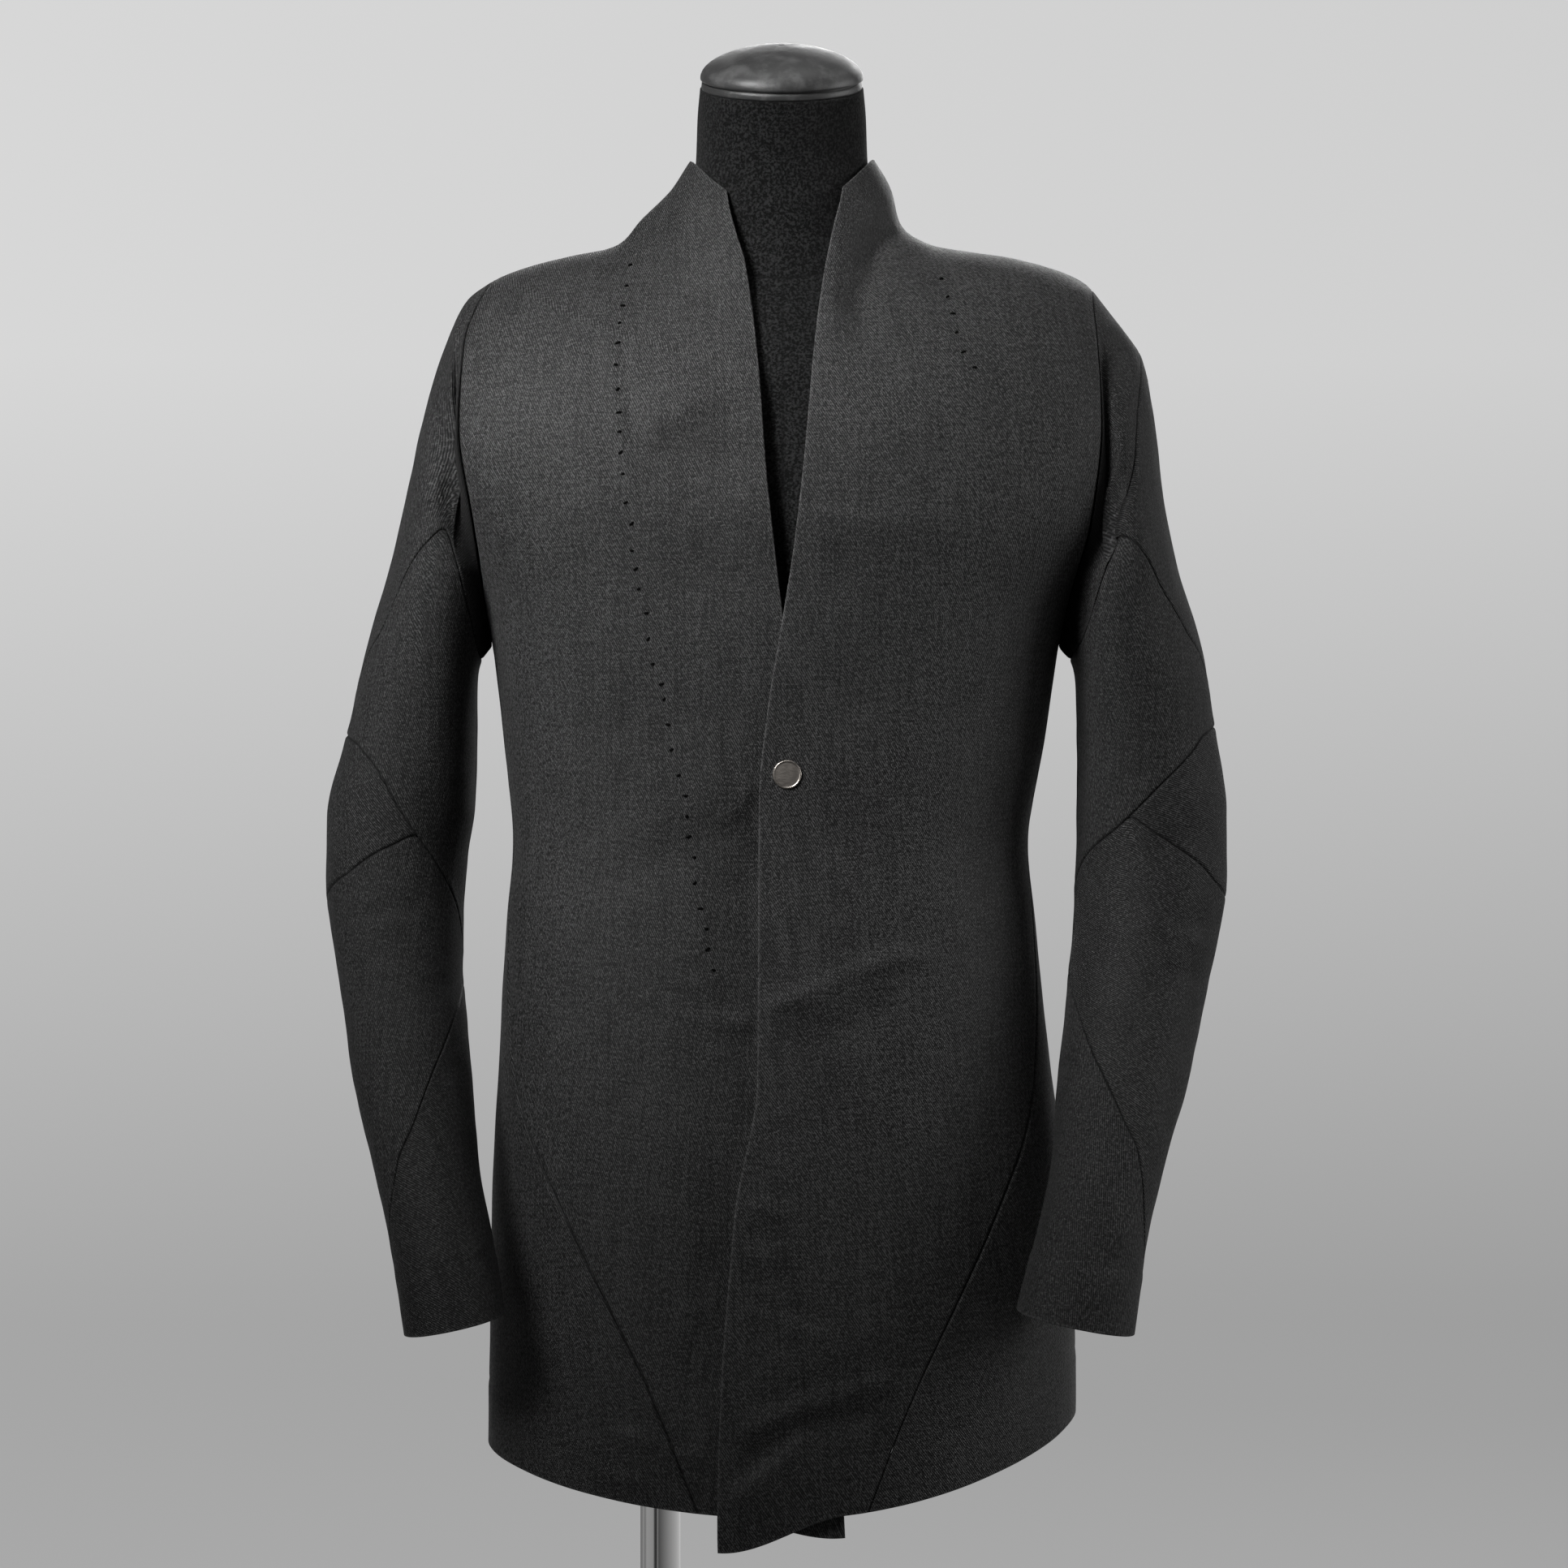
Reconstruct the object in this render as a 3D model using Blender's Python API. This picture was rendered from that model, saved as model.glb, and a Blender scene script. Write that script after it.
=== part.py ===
"""Denim blazer on a limbless dress form, in metres, +Z up.

The origin is the centre of the base plate's underside. The garment's front faces -Y,
and +X is the wearer's left. The garment is a set of sewn panels, each a thin wall cut
from two kinds of surface: one tube of rings for the body, and one for each sleeve.
"""
import math

import bmesh
import bpy
import numpy as np
from mathutils import Matrix, Vector

# Cloth
CLOTH = 0.0018
SEAM_HALF_GAP = 0.0002
INNER_BEVEL = 0.0010
LAYER_STEP = 0.0018
LAYER_FULL_TO = 0.062
LAYER_FADE = 0.090
LAYER_TOP = 1.30
LAYER_TUCK = 0.0040
LAYER_TUCK_REACH = 0.022

# Body of the garment, one row for each ring from the hem to the collar's top
BODY_COLUMNS = ("z_front", "z_right", "z_left", "z_back", "x_right", "x_left", "y_front", "y_back", "power")
BODY_RINGS = (
    (0.606, 0.638, 0.659, 0.642, 0.2027, 0.2010, 0.138, 0.130, 2.2),
    (0.685, 0.700, 0.712, 0.704, 0.2022, 0.2008, 0.137, 0.130, 2.2),
    (0.792, 0.800, 0.803, 0.800, 0.2005, 0.1965, 0.132, 0.128, 2.2),
    (0.896, 0.900, 0.900, 0.900, 0.1960, 0.1835, 0.124, 0.118, 2.2),
    (0.998, 1.000, 1.000, 1.000, 0.1900, 0.1732, 0.116, 0.101, 2.2),
    (1.048, 1.050, 1.050, 1.052, 0.1862, 0.1688, 0.113, 0.095, 2.2),
    (1.119, 1.120, 1.120, 1.124, 0.1925, 0.1800, 0.117, 0.101, 2.2),
    (1.202, 1.206, 1.206, 1.212, 0.2022, 0.1928, 0.124, 0.112, 2.3),
    (1.262, 1.270, 1.270, 1.280, 0.2100, 0.2085, 0.125, 0.119, 2.4),
    (1.312, 1.340, 1.340, 1.345, 0.2195, 0.2156, 0.119, 0.119, 2.4),
    (1.348, 1.400, 1.400, 1.392, 0.2170, 0.2140, 0.109, 0.109, 2.3),
    (1.368, 1.437, 1.431, 1.420, 0.1975, 0.2105, 0.101, 0.099, 2.2),
    (1.388, 1.4525, 1.4515, 1.440, 0.1520, 0.1620, 0.093, 0.089, 2.1),
    (1.410, 1.4613, 1.4613, 1.462, 0.1142, 0.1014, 0.085, 0.079, 2.0),
    (1.436, 1.4800, 1.4760, 1.483, 0.0970, 0.0805, 0.077, 0.070, 2.0),
    (1.457, 1.4990, 1.4990, 1.504, 0.0780, 0.0745, 0.071, 0.065, 2.0),
    (1.477, 1.5195, 1.5205, 1.528, 0.0640, 0.0624, 0.067, 0.061, 2.0),
)
ARMPIT_ROW = 7.0
SHOULDER_ROW = 11.0
NECK_ROW = 13.0
COLLAR_ROW = 16.0
ARMHOLE_HALF_ANGLE = 34.0
ARMHOLE_START = 6.92
ARMHOLE_DIP = 0.25

# Seam between front and side panel, and between side panel and back, as angles
SEAM_ROWS = (0.0, 1.0, 2.0, 3.0, 4.0, 5.0, 7.0)
FRONT_SEAM = (16.0, 25.5, 44.0, 66.5, 78.5, 81.5, 81.8)
BACK_SEAM = (140.0, 134.0, 122.0, 110.0, 103.0, 100.5, 98.2)

# Front edges seen from the front: height, and how far the edge lies to the wearer's left
RIGHT_EDGE = (
    (0.560, 0.0440), (0.620, 0.0410), (0.900, 0.0230), (1.097, 0.0155), (1.2056, -0.0005),
    (1.2357, -0.0043), (1.3029, -0.0114), (1.3687, -0.0163), (1.4412, -0.0256),
    (1.4643, -0.0324), (1.4800, -0.0365), (1.5300, -0.0440),
)
LEFT_EDGE = (
    (0.560, -0.0405), (0.6215, -0.0433), (0.8038, -0.0322), (0.8943, -0.0172), (1.0800, -0.0161),
    (1.1400, -0.0102), (1.1997, -0.0005), (1.2475, 0.0070), (1.3085, 0.0140), (1.3884, 0.0212),
    (1.4265, 0.0262), (1.4698, 0.0346), (1.4886, 0.0395), (1.5300, 0.0450),
)
LEFT_CORNER_DROP = 0.024
RIGHT_CORNER_DROP = 0.016
CORNER_REACH = 0.085

# Folds as they look from the front, in metres
# Columns: x_start, z_start, x_end, z_end, half_width, height
FRONT_FOLDS = (
    (0.073, 1.474, 0.034, 1.396, 0.011, -0.0040),
    (0.050, 1.420, 0.028, 1.340, 0.012, 0.0022),
    (0.088, 1.463, 0.104, 1.456, 0.006, 0.0020),
    (-0.085, 1.472, -0.122, 1.432, 0.014, -0.0018),
    (-0.020, 1.092, -0.118, 1.050, 0.014, 0.0026),
    (-0.022, 1.070, -0.125, 1.018, 0.013, -0.0030),
    (-0.010, 0.930, -0.105, 0.950, 0.015, -0.0032),
    (-0.008, 0.922, 0.078, 0.972, 0.012, 0.0034),
    (-0.006, 0.900, 0.092, 0.948, 0.014, -0.0034),
    (0.006, 1.075, 0.120, 1.165, 0.020, 0.0024),
    (-0.030, 0.745, 0.040, 0.728, 0.012, -0.0032),
    (-0.034, 0.690, 0.075, 0.736, 0.013, 0.0036),
    (-0.040, 0.655, 0.055, 0.690, 0.012, -0.0036),
    (-0.034, 0.628, 0.030, 0.662, 0.011, 0.0034),
    (-0.065, 0.690, -0.100, 0.610, 0.016, 0.0040),
    (-0.130, 1.000, -0.110, 0.760, 0.028, -0.0030),
    (0.135, 0.960, 0.150, 0.800, 0.026, -0.0030),
)
BACK_FOLDS = (
    (-0.020, 1.080, -0.140, 1.040, 0.018, -0.0040),
    (0.015, 1.060, 0.135, 1.030, 0.018, -0.0038),
    (-0.010, 1.030, 0.100, 1.005, 0.016, 0.0034),
    (-0.060, 0.980, -0.085, 0.700, 0.030, -0.0045),
    (0.050, 0.960, 0.095, 0.690, 0.032, -0.0045),
    (-0.100, 1.400, -0.150, 1.220, 0.022, -0.0035),
    (0.105, 1.395, 0.158, 1.225, 0.022, -0.0035),
    (0.000, 0.920, 0.006, 0.660, 0.028, 0.0040),
)

# Sleeves: where each ring passes the outer and the inner side of the arm
SLEEVE_COLUMNS = ("x_outer", "z_outer", "x_inner", "z_inner", "y_middle", "half_depth")
LEFT_SLEEVE = (
    (0.2105, 1.4310, 0.1920, 1.1900, 0.000, 0.0660),
    (0.2296, 1.4064, 0.1950, 1.1840, 0.000, 0.0670),
    (0.2464, 1.3846, 0.1985, 1.1770, 0.000, 0.0680),
    (0.2542, 1.3493, 0.2010, 1.1680, 0.001, 0.0690),
    (0.2615, 1.2916, 0.2025, 1.1550, 0.003, 0.0695),
    (0.2705, 1.2446, 0.2030, 1.1380, 0.005, 0.0690),
    (0.2834, 1.2042, 0.2033, 1.1190, 0.007, 0.0680),
    (0.2900, 1.1800, 0.2036, 1.1030, 0.008, 0.0665),
    (0.2980, 1.1298, 0.2033, 1.0730, 0.009, 0.0645),
    (0.3063, 1.0715, 0.2028, 1.0400, 0.008, 0.0625),
    (0.3060, 1.0262, 0.2010, 1.0050, 0.002, 0.0605),
    (0.2960, 0.9720, 0.1968, 0.9640, -0.012, 0.0580),
    (0.2856, 0.9316, 0.1925, 0.9300, -0.028, 0.0560),
    (0.2746, 0.8895, 0.1861, 0.8895, -0.052, 0.0535),
    (0.2552, 0.8359, 0.1795, 0.8330, -0.085, 0.0495),
    (0.2405, 0.7806, 0.1655, 0.7806, -0.112, 0.0460),
    (0.2317, 0.7269, 0.1545, 0.7425, -0.128, 0.0440),
)
RIGHT_SLEEVE = (
    (-0.1975, 1.4370, -0.2010, 1.1900, 0.000, 0.0660),
    (-0.2156, 1.4238, -0.2045, 1.1840, 0.000, 0.0670),
    (-0.2302, 1.3969, -0.2080, 1.1770, 0.000, 0.0680),
    (-0.2425, 1.3616, -0.2105, 1.1680, 0.001, 0.0690),
    (-0.2570, 1.2994, -0.2115, 1.1550, 0.003, 0.0695),
    (-0.2694, 1.2457, -0.2118, 1.1380, 0.005, 0.0690),
    (-0.2815, 1.2060, -0.2120, 1.1190, 0.007, 0.0680),
    (-0.2880, 1.1820, -0.2122, 1.1030, 0.008, 0.0665),
    (-0.3000, 1.1298, -0.2135, 1.0730, 0.009, 0.0645),
    (-0.3150, 1.0680, -0.2185, 1.0400, 0.008, 0.0625),
    (-0.3153, 1.0262, -0.2205, 1.0050, 0.002, 0.0605),
    (-0.3070, 0.9700, -0.2205, 0.9640, -0.011, 0.0580),
    (-0.3005, 0.9361, -0.2172, 0.9340, -0.024, 0.0560),
    (-0.2918, 0.8892, -0.2113, 0.8880, -0.045, 0.0535),
    (-0.2760, 0.8347, -0.2050, 0.8347, -0.074, 0.0495),
    (-0.2608, 0.7788, -0.1924, 0.7788, -0.100, 0.0460),
    (-0.2507, 0.7250, -0.1854, 0.7385, -0.116, 0.0430),
)
SLEEVE_POWER = 2.15
CUFF_ROW = 16.0

# Slanted sleeve seams: ring row at each angle round the arm, 0 outer, 90 front, 180 inner
SLANT_ANGLES = (0.0, 20.0, 40.0, 55.0, 70.0, 90.0, 120.0, 150.0, 180.0)
LEFT_SLANTS = {
    "bend_top": (7.7, 7.3, 6.1, 5.1, 4.1, 3.1, 2.5, 2.2, 2.0),
    "bend_bottom": (8.0, 8.0, 8.0, 8.1, 8.2, 8.35, 8.65, 8.95, 9.6),
    "elbow_width": (2.4, 2.3, 2.1, 1.7, 1.3, 0.75, 0.0, 0.0, 0.0),
    "cuff_top": (15.4, 15.05, 14.6, 14.15, 13.75, 13.4, 12.7, 11.8, 11.0),
}
RIGHT_SLANTS = {
    "bend_top": (7.8, 7.3, 6.2, 4.8, 4.0, 3.15, 2.5, 2.2, 2.0),
    "bend_bottom": (8.1, 8.1, 8.1, 8.15, 8.25, 8.5, 9.0, 9.75, 10.7),
    "elbow_width": (2.4, 2.2, 2.0, 1.75, 1.35, 0.75, 0.0, 0.0, 0.0),
    "cuff_top": (15.3, 14.9, 14.5, 14.2, 13.85, 13.5, 12.75, 12.0, 11.3),
}
ELBOW_REACH = 112.0
ELBOW_NOTCH = 3.0
COLUMN_APART = 0.12
WIDE_COLUMN = 19.0
STRETCH_POWER = 3.0
ARMHOLE_FADE = 3.0

# Where the upper front piece ends on the outer side
# Columns: share of the way to the bend seam, angle round the arm
LEFT_HEAD_SEAM = ((0.45, -8.0), (0.60, 12.0), (0.70, 46.0), (0.80, 68.0), (1.0, 90.0))
RIGHT_HEAD_SEAM = ((0.28, 0.0), (0.38, 7.0), (0.48, 3.0), (0.65, -9.0), (1.0, -24.0))

LEFT_SLEEVE_FOLDS = (
    (0.220, 1.400, 0.236, 1.258, 0.013, 0.0032),
    (0.236, 1.258, 0.268, 1.160, 0.014, 0.0032),
    (0.212, 1.380, 0.220, 1.250, 0.010, -0.0026),
    (0.300, 1.000, 0.250, 0.990, 0.010, -0.0034),
    (0.298, 0.965, 0.240, 0.945, 0.010, -0.0030),
    (0.290, 1.060, 0.252, 1.045, 0.010, -0.0030),
    (0.192, 0.893, 0.222, 0.886, 0.008, -0.0034),
    (0.196, 0.800, 0.222, 0.770, 0.009, -0.0026),
    (0.262, 0.870, 0.240, 0.800, 0.012, 0.0024),
)
RIGHT_SLEEVE_FOLDS = (
    (-0.240, 1.392, -0.232, 1.262, 0.010, -0.0040),
    (-0.262, 1.290, -0.252, 1.180, 0.016, 0.0030),
    (-0.306, 1.010, -0.246, 0.998, 0.010, -0.0036),
    (-0.304, 0.980, -0.232, 0.962, 0.009, 0.0032),
    (-0.300, 0.958, -0.236, 0.938, 0.010, -0.0032),
    (-0.244, 1.096, -0.226, 1.010, 0.012, -0.0030),
    (-0.290, 0.880, -0.236, 0.872, 0.011, -0.0026),
    (-0.226, 0.820, -0.206, 0.772, 0.010, 0.0024),
)
LEFT_SLEEVE_BACK_FOLDS = (
    (0.222, 1.390, 0.236, 1.250, 0.011, -0.0036),
    (0.300, 1.090, 0.240, 1.110, 0.011, -0.0030),
    (0.302, 1.030, 0.236, 1.045, 0.012, -0.0030),
    (0.280, 0.940, 0.215, 0.960, 0.012, 0.0026),
)
RIGHT_SLEEVE_BACK_FOLDS = (
    (-0.226, 1.392, -0.240, 1.255, 0.011, -0.0036),
    (-0.306, 1.080, -0.250, 1.104, 0.011, -0.0030),
    (-0.308, 1.020, -0.244, 1.030, 0.012, -0.0030),
    (-0.286, 0.930, -0.226, 0.950, 0.012, 0.0026),
)

# How finely the panels are divided
LOWER_STEPS = (3, 3, 3, 2, 1, 2, 2)
FRONT_ARMHOLE_STEPS = 7
BACK_ARMHOLE_STEPS = 12
HEAD_COLUMN = -2
SHOULDER_STEPS = 4
COLLAR_STEPS = 4
FRONT_COLUMNS = 9
SIDE_COLUMNS = 6
BACK_COLUMNS = 12
UPPER_SLEEVE_STEPS = 8
BEND_STEPS = 4
ELBOW_STEPS = 2
FOREARM_STEPS = 6
CUFF_STEPS = 4

# Dress form under the cloth, as distances inside the body rings
FORM_ROWS = (1.0, 1.3, 2.0, 3.0, 4.0, 5.0, 6.0, 7.0, 8.0, 9.0, 10.0, 10.6, 11.0, 12.0, 13.0)
FORM_INSET = (
    0.030, 0.020, 0.018, 0.018, 0.018, 0.018, 0.017, 0.014, 0.013, 0.012,
    0.0095, 0.0065, 0.0042, 0.0036, 0.0040,
)
FORM_FRONT_INSET = 0.0030
FORM_FLOOR = 0.705
FORM_FLOOR_SHARE = 0.90
FORM_SIDES = 32
# Columns of the neck's rings: z_front, z_side, z_back, half_width, y_front, y_back
NECK_RINGS = (
    (1.424, 1.4660, 1.466, 0.0800, -0.0700, 0.0640),
    (1.440, 1.4760, 1.482, 0.0680, -0.0645, 0.0575),
    (1.468, 1.4930, 1.500, 0.0612, -0.0605, 0.0535),
    (1.505, 1.5200, 1.530, 0.0583, -0.0615, 0.0490),
    (1.532, 1.5480, 1.563, 0.0572, -0.0675, 0.0400),
    (1.5490, 1.5665, 1.584, 0.0560, -0.0725, 0.0330),
)
NECK_CENTRE_X = -0.001
CAP_RADIUS = 0.0552
CAP_STEPS = 6
CAP_BAND = 0.006
CAP_HEIGHT = 0.0275

# Snap on the left front
SNAP_X = 0.0026
SNAP_Z = 1.0965
SNAP_RADIUS = 0.0096
SNAP_THICKNESS = 0.0017
SNAP_GAP = 0.0004

# Stand
POLE_X = -0.085
POLE_RADIUS = 0.014
BASE_RADIUS = 0.18
BASE_THICKNESS = 0.006
BASE_CHAMFER = 0.0012
TOUCH_GAP = 0.0003


def clear_scene():
    for thing in list(bpy.data.objects):
        bpy.data.objects.remove(thing, do_unlink=True)


def material(name, colour, roughness, metallic=0.0):
    made = bpy.data.materials.new(name)
    made.use_nodes = True
    shader = made.node_tree.nodes["Principled BSDF"]
    shader.inputs["Base Color"].default_value = (*colour, 1.0)
    shader.inputs["Roughness"].default_value = roughness
    shader.inputs["Metallic"].default_value = metallic
    return made


def smooth_curve(places, values, wanted):
    """Value of a smooth curve through the given points that never overshoots them."""
    places = np.asarray(places, dtype=float)
    values = np.asarray(values, dtype=float)
    steps = np.diff(places)
    slopes = np.diff(values) / steps
    before, after = slopes[:-1], slopes[1:]
    same_way = before * after > 0
    bends = np.where(same_way, 2 * before * after / np.where(same_way, before + after, 1.0), 0.0)
    tangents = np.concatenate(([slopes[0]], bends, [slopes[-1]]))
    wanted = np.clip(wanted, places[0], places[-1])
    piece = np.clip(np.searchsorted(places, wanted, side="right") - 1, 0, len(steps) - 1)
    width = steps[piece]
    t = (wanted - places[piece]) / width
    start, end = values[piece], values[piece + 1]
    leave, arrive = tangents[piece] * width, tangents[piece + 1] * width
    return (start * (1 + 2 * t) * (1 - t) ** 2 + leave * t * (1 - t) ** 2
            + end * t * t * (3 - 2 * t) + arrive * t * t * (t - 1))


def table_value(rings, columns, column, row):
    values = [ring[columns.index(column)] for ring in rings]
    return smooth_curve(range(len(values)), values, row)


def smooth_step(value):
    t = np.clip(value, 0.0, 1.0)
    return t * t * (3 - 2 * t)


def unit(vectors):
    return vectors / np.maximum(np.linalg.norm(vectors, axis=-1, keepdims=True), 1e-12)


def ring_factors(sine, cosine, power):
    """Places on a rounded ring: 1 across at the side, 1 deep at the front."""
    scale = (np.abs(sine) ** power + np.abs(cosine) ** power) ** (-1 / power)
    return sine * scale, cosine * scale


def armhole_angle(row):
    """Half of the angle that the armhole takes out of the side of a body ring."""
    along = np.clip((row - ARMHOLE_START) / (SHOULDER_ROW - ARMHOLE_START), 0.0, 1.0)
    return ARMHOLE_HALF_ANGLE * np.sqrt(np.sin(np.pi * along))


def body_point(angle, row, armholes=True):
    """Point of the body surface; angle 0 is the front, 90 the wearer's left side."""
    angle, row = np.broadcast_arrays(np.asarray(angle, dtype=float), np.asarray(row, dtype=float))
    turn = np.radians(angle)
    sine, cosine = np.sin(turn), np.cos(turn)

    def column(name):
        return table_value(BODY_RINGS, BODY_COLUMNS, name, row)

    power = column("power")
    gap = np.radians(armhole_angle(row)) * armholes
    edge_across, _ = ring_factors(np.cos(gap), np.sin(gap), power)
    on_left = sine >= 0
    half_width = np.where(on_left, column("x_left"), column("x_right")) / edge_across
    depth = np.where(cosine >= 0, column("y_front"), column("y_back"))
    across, deep = ring_factors(sine, cosine, power)
    side_height = np.where(on_left, column("z_left"), column("z_right"))
    middle_height = np.where(cosine >= 0, column("z_front"), column("z_back"))
    height = side_height + (middle_height - side_height) * cosine ** 2
    return np.stack((half_width * across, -depth * deep, height), axis=-1)


def surface_normal(surface, first, second, first_step, second_step):
    along_first = surface(first + first_step, second) - surface(first - first_step, second)
    along_second = surface(first, second + second_step) - surface(first, second - second_step)
    return unit(np.cross(along_first, along_second))


def fold_height(points, folds):
    """Sum of soft ridges and troughs, each along a line seen from the front."""
    total = np.zeros(points.shape[:-1])
    for x_start, z_start, x_end, z_end, half_width, height in folds:
        run = np.array((x_end - x_start, z_end - z_start))
        offset = points[..., (0, 2)] - np.array((x_start, z_start))
        along = offset @ run / (run @ run)
        nearest = np.clip(along, 0.0, 1.0)[..., None] * run
        distance = np.linalg.norm(offset - nearest, axis=-1)
        taper = smooth_step(1.15 - np.abs(2 * along - 1) * 0.75)
        total += height * taper * np.exp(-(distance / half_width) ** 2)
    return total


def body_folds(angle, points):
    facing = np.cos(np.radians(angle)) * 3
    return (fold_height(points, FRONT_FOLDS) * np.clip(facing, 0.0, 1.0)
            + fold_height(points, BACK_FOLDS) * np.clip(-facing, 0.0, 1.0))


def edge_place(edge, height):
    return smooth_curve([row[0] for row in edge], [row[1] for row in edge], height)


def edge_angle(edge, row):
    """Angle at which a body ring meets a front edge, from the edge's place across."""
    angle = np.zeros_like(row)
    for _ in range(6):
        point = body_point(angle, row)
        wanted = edge_place(edge, point[..., 2])
        power = table_value(BODY_RINGS, BODY_COLUMNS, "power", row)
        side = np.where(wanted >= 0, 90.0, -90.0)
        share = np.clip(np.abs(wanted) / np.abs(body_point(side, row)[..., 0]), 0.0, 0.999)
        angle = np.sign(wanted) * np.degrees(np.arctan2(share, (1 - share ** power) ** (1 / power)))
    return angle


def covered(points, side):
    """0 where a right piece shows, 1 once it lies well under the left front."""
    if side > 0:
        return np.zeros(points.shape[:-1])
    inside = points[..., 0] - edge_place(LEFT_EDGE, points[..., 2])
    return smooth_step(inside / LAYER_TUCK_REACH)


def layer_offset(angle, points, side):
    """Step of the left pieces over the right ones where the fronts overlap."""
    fade = 1 - smooth_step((side * points[..., 0] - LAYER_FULL_TO) / LAYER_FADE)
    below_collar = 1 - smooth_step((points[..., 2] - LAYER_TOP) / LAYER_FADE)
    in_front = np.clip(np.cos(np.radians(angle)) * 3, 0.0, 1.0)
    step = side * LAYER_STEP * fade - LAYER_TUCK * covered(points, side)
    return step * below_collar * in_front


def dense_rows(counts, first=0.0):
    rows = [first]
    for count in counts:
        rows += list(rows[-1] + np.arange(1, count + 1) / count)
    return np.array(rows)


def armhole_rows(count):
    share = (1 - np.cos(np.pi * np.arange(1, count + 1) / count)) / 2
    return ARMPIT_ROW + (SHOULDER_ROW - ARMPIT_ROW) * share


def upper_rows(armhole_steps):
    shoulder = np.linspace(SHOULDER_ROW, NECK_ROW, SHOULDER_STEPS + 1)[1:]
    return np.concatenate((dense_rows(LOWER_STEPS), armhole_rows(armhole_steps), shoulder))


def collar_rows():
    return np.linspace(NECK_ROW, COLLAR_ROW, COLLAR_STEPS + 1)


def side_boundary(row, seam):
    """Angle of a front or back panel's side edge: side seam, armhole, then shoulder seam."""
    at_seam = smooth_curve(SEAM_ROWS, seam, row)
    toward_front = seam[0] < 90
    at_armhole = 90 - armhole_angle(row) if toward_front else 90 + armhole_angle(row)
    return np.where(row <= ARMPIT_ROW, at_seam, at_armhole)


def pull_in(points, normals, gap):
    """Move the four borders of a grid of points inward."""
    moved = points.copy()
    for axis in (0, 1):
        for border, inside in ((0, 1), (-1, -2)):
            edge = np.take(points, border, axis=axis)
            inner = np.take(points, inside, axis=axis)
            tangent = unit(np.gradient(edge, axis=0))
            inward = inner - edge
            edge_normal = np.take(normals, border, axis=axis)
            inward -= np.sum(inward * tangent, axis=-1, keepdims=True) * tangent
            inward -= np.sum(inward * edge_normal, axis=-1, keepdims=True) * edge_normal
            step = unit(inward) * gap
            if axis == 0:
                moved[border] += step
            else:
                moved[:, border] += step
    return moved


def cloth_wall(name, points, normals, slot):
    """Closed wall of cloth: the grid outside, and the same grid one thickness further in."""
    rows, columns = points.shape[:2]
    outer = pull_in(points, normals, SEAM_HALF_GAP)
    inner = pull_in(outer - CLOTH * normals, normals, INNER_BEVEL)
    vertices = np.concatenate((outer.reshape(-1, 3), inner.reshape(-1, 3)))
    below = rows * columns

    def at(row, column):
        return row * columns + column

    faces = []
    for row in range(rows - 1):
        for column in range(columns - 1):
            quad = (at(row, column), at(row, column + 1), at(row + 1, column + 1), at(row + 1, column))
            faces.append(quad)
            faces.append(tuple(below + corner for corner in reversed(quad)))
    border = [at(0, column) for column in range(columns - 1)]
    border += [at(row, columns - 1) for row in range(rows - 1)]
    border += [at(rows - 1, column) for column in range(columns - 1, 0, -1)]
    border += [at(row, 0) for row in range(rows - 1, 0, -1)]
    for here, after in zip(border, border[1:] + border[:1]):
        faces.append((after, here, below + here, below + after))
    mesh = bpy.data.meshes.new(name)
    mesh.from_pydata(vertices.tolist(), [], faces)
    return finish_mesh(name, mesh, slot)


def finish_mesh(name, mesh, slot, sharp_angle=40.0):
    made = bmesh.new()
    made.from_mesh(mesh)
    bmesh.ops.recalc_face_normals(made, faces=made.faces)
    bmesh.ops.triangulate(made, faces=made.faces, quad_method="SHORT_EDGE")
    made.to_mesh(mesh)
    made.free()
    mesh.shade_smooth()
    mesh.set_sharp_from_angle(angle=math.radians(sharp_angle))
    mesh.materials.append(slot)
    thing = bpy.data.objects.new(name, mesh)
    bpy.context.scene.collection.objects.link(thing)
    return thing


def body_grid(angles, rows, side=0):
    """Points and normals of a stretch of the body surface with its folds on it."""
    base = body_point(angles, rows)
    normals = surface_normal(form_surface, angles, rows, 1.0, 0.04)
    height = body_folds(angles, base) * (1 - covered(base, side)) + layer_offset(angles, base, side)
    return base + normals * height[..., None], normals


def drop_corner(points, rows, edge_x, drop):
    """Let the hem hang lower towards the front edge's corner."""
    near = 1 - smooth_step(np.abs(points[..., 0] - edge_x) / CORNER_REACH)
    low = 1 - smooth_step(rows / 1.6)
    points[..., 2] -= drop * near * low


def front_panel(name, edge, side, drop, slot):
    """One front with its collar; side is 1 for the wearer's left."""
    rows = np.concatenate((upper_rows(FRONT_ARMHOLE_STEPS), collar_rows()[1:]))
    front = edge_angle(edge, rows)
    back = side * side_boundary(rows, FRONT_SEAM)
    share = np.linspace(0.0, 1.0, FRONT_COLUMNS + 1)
    angles = front[:, None] + (back - front)[:, None] * share[None, :]
    angles += side * armhole_angle(rows)[:, None] * (share - share ** 2)[None, :]
    grid_rows = np.broadcast_to(rows[:, None], angles.shape)
    edge_x = body_point(front, rows)[:, 0]
    points, normals = body_grid(angles, grid_rows, side)
    drop_corner(points, grid_rows, edge_x[0], drop)
    return cloth_wall(name, points, normals, slot)


def side_top(angle):
    """Row of the armhole's lowest stretch, along the top of a side panel."""
    half = armhole_angle(ARMPIT_ROW)
    across = np.clip((np.abs(angle) - 90 + half) / (2 * half), 0.0, 1.0)
    return ARMPIT_ROW - ARMHOLE_DIP * np.sin(np.pi * across)


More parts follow.
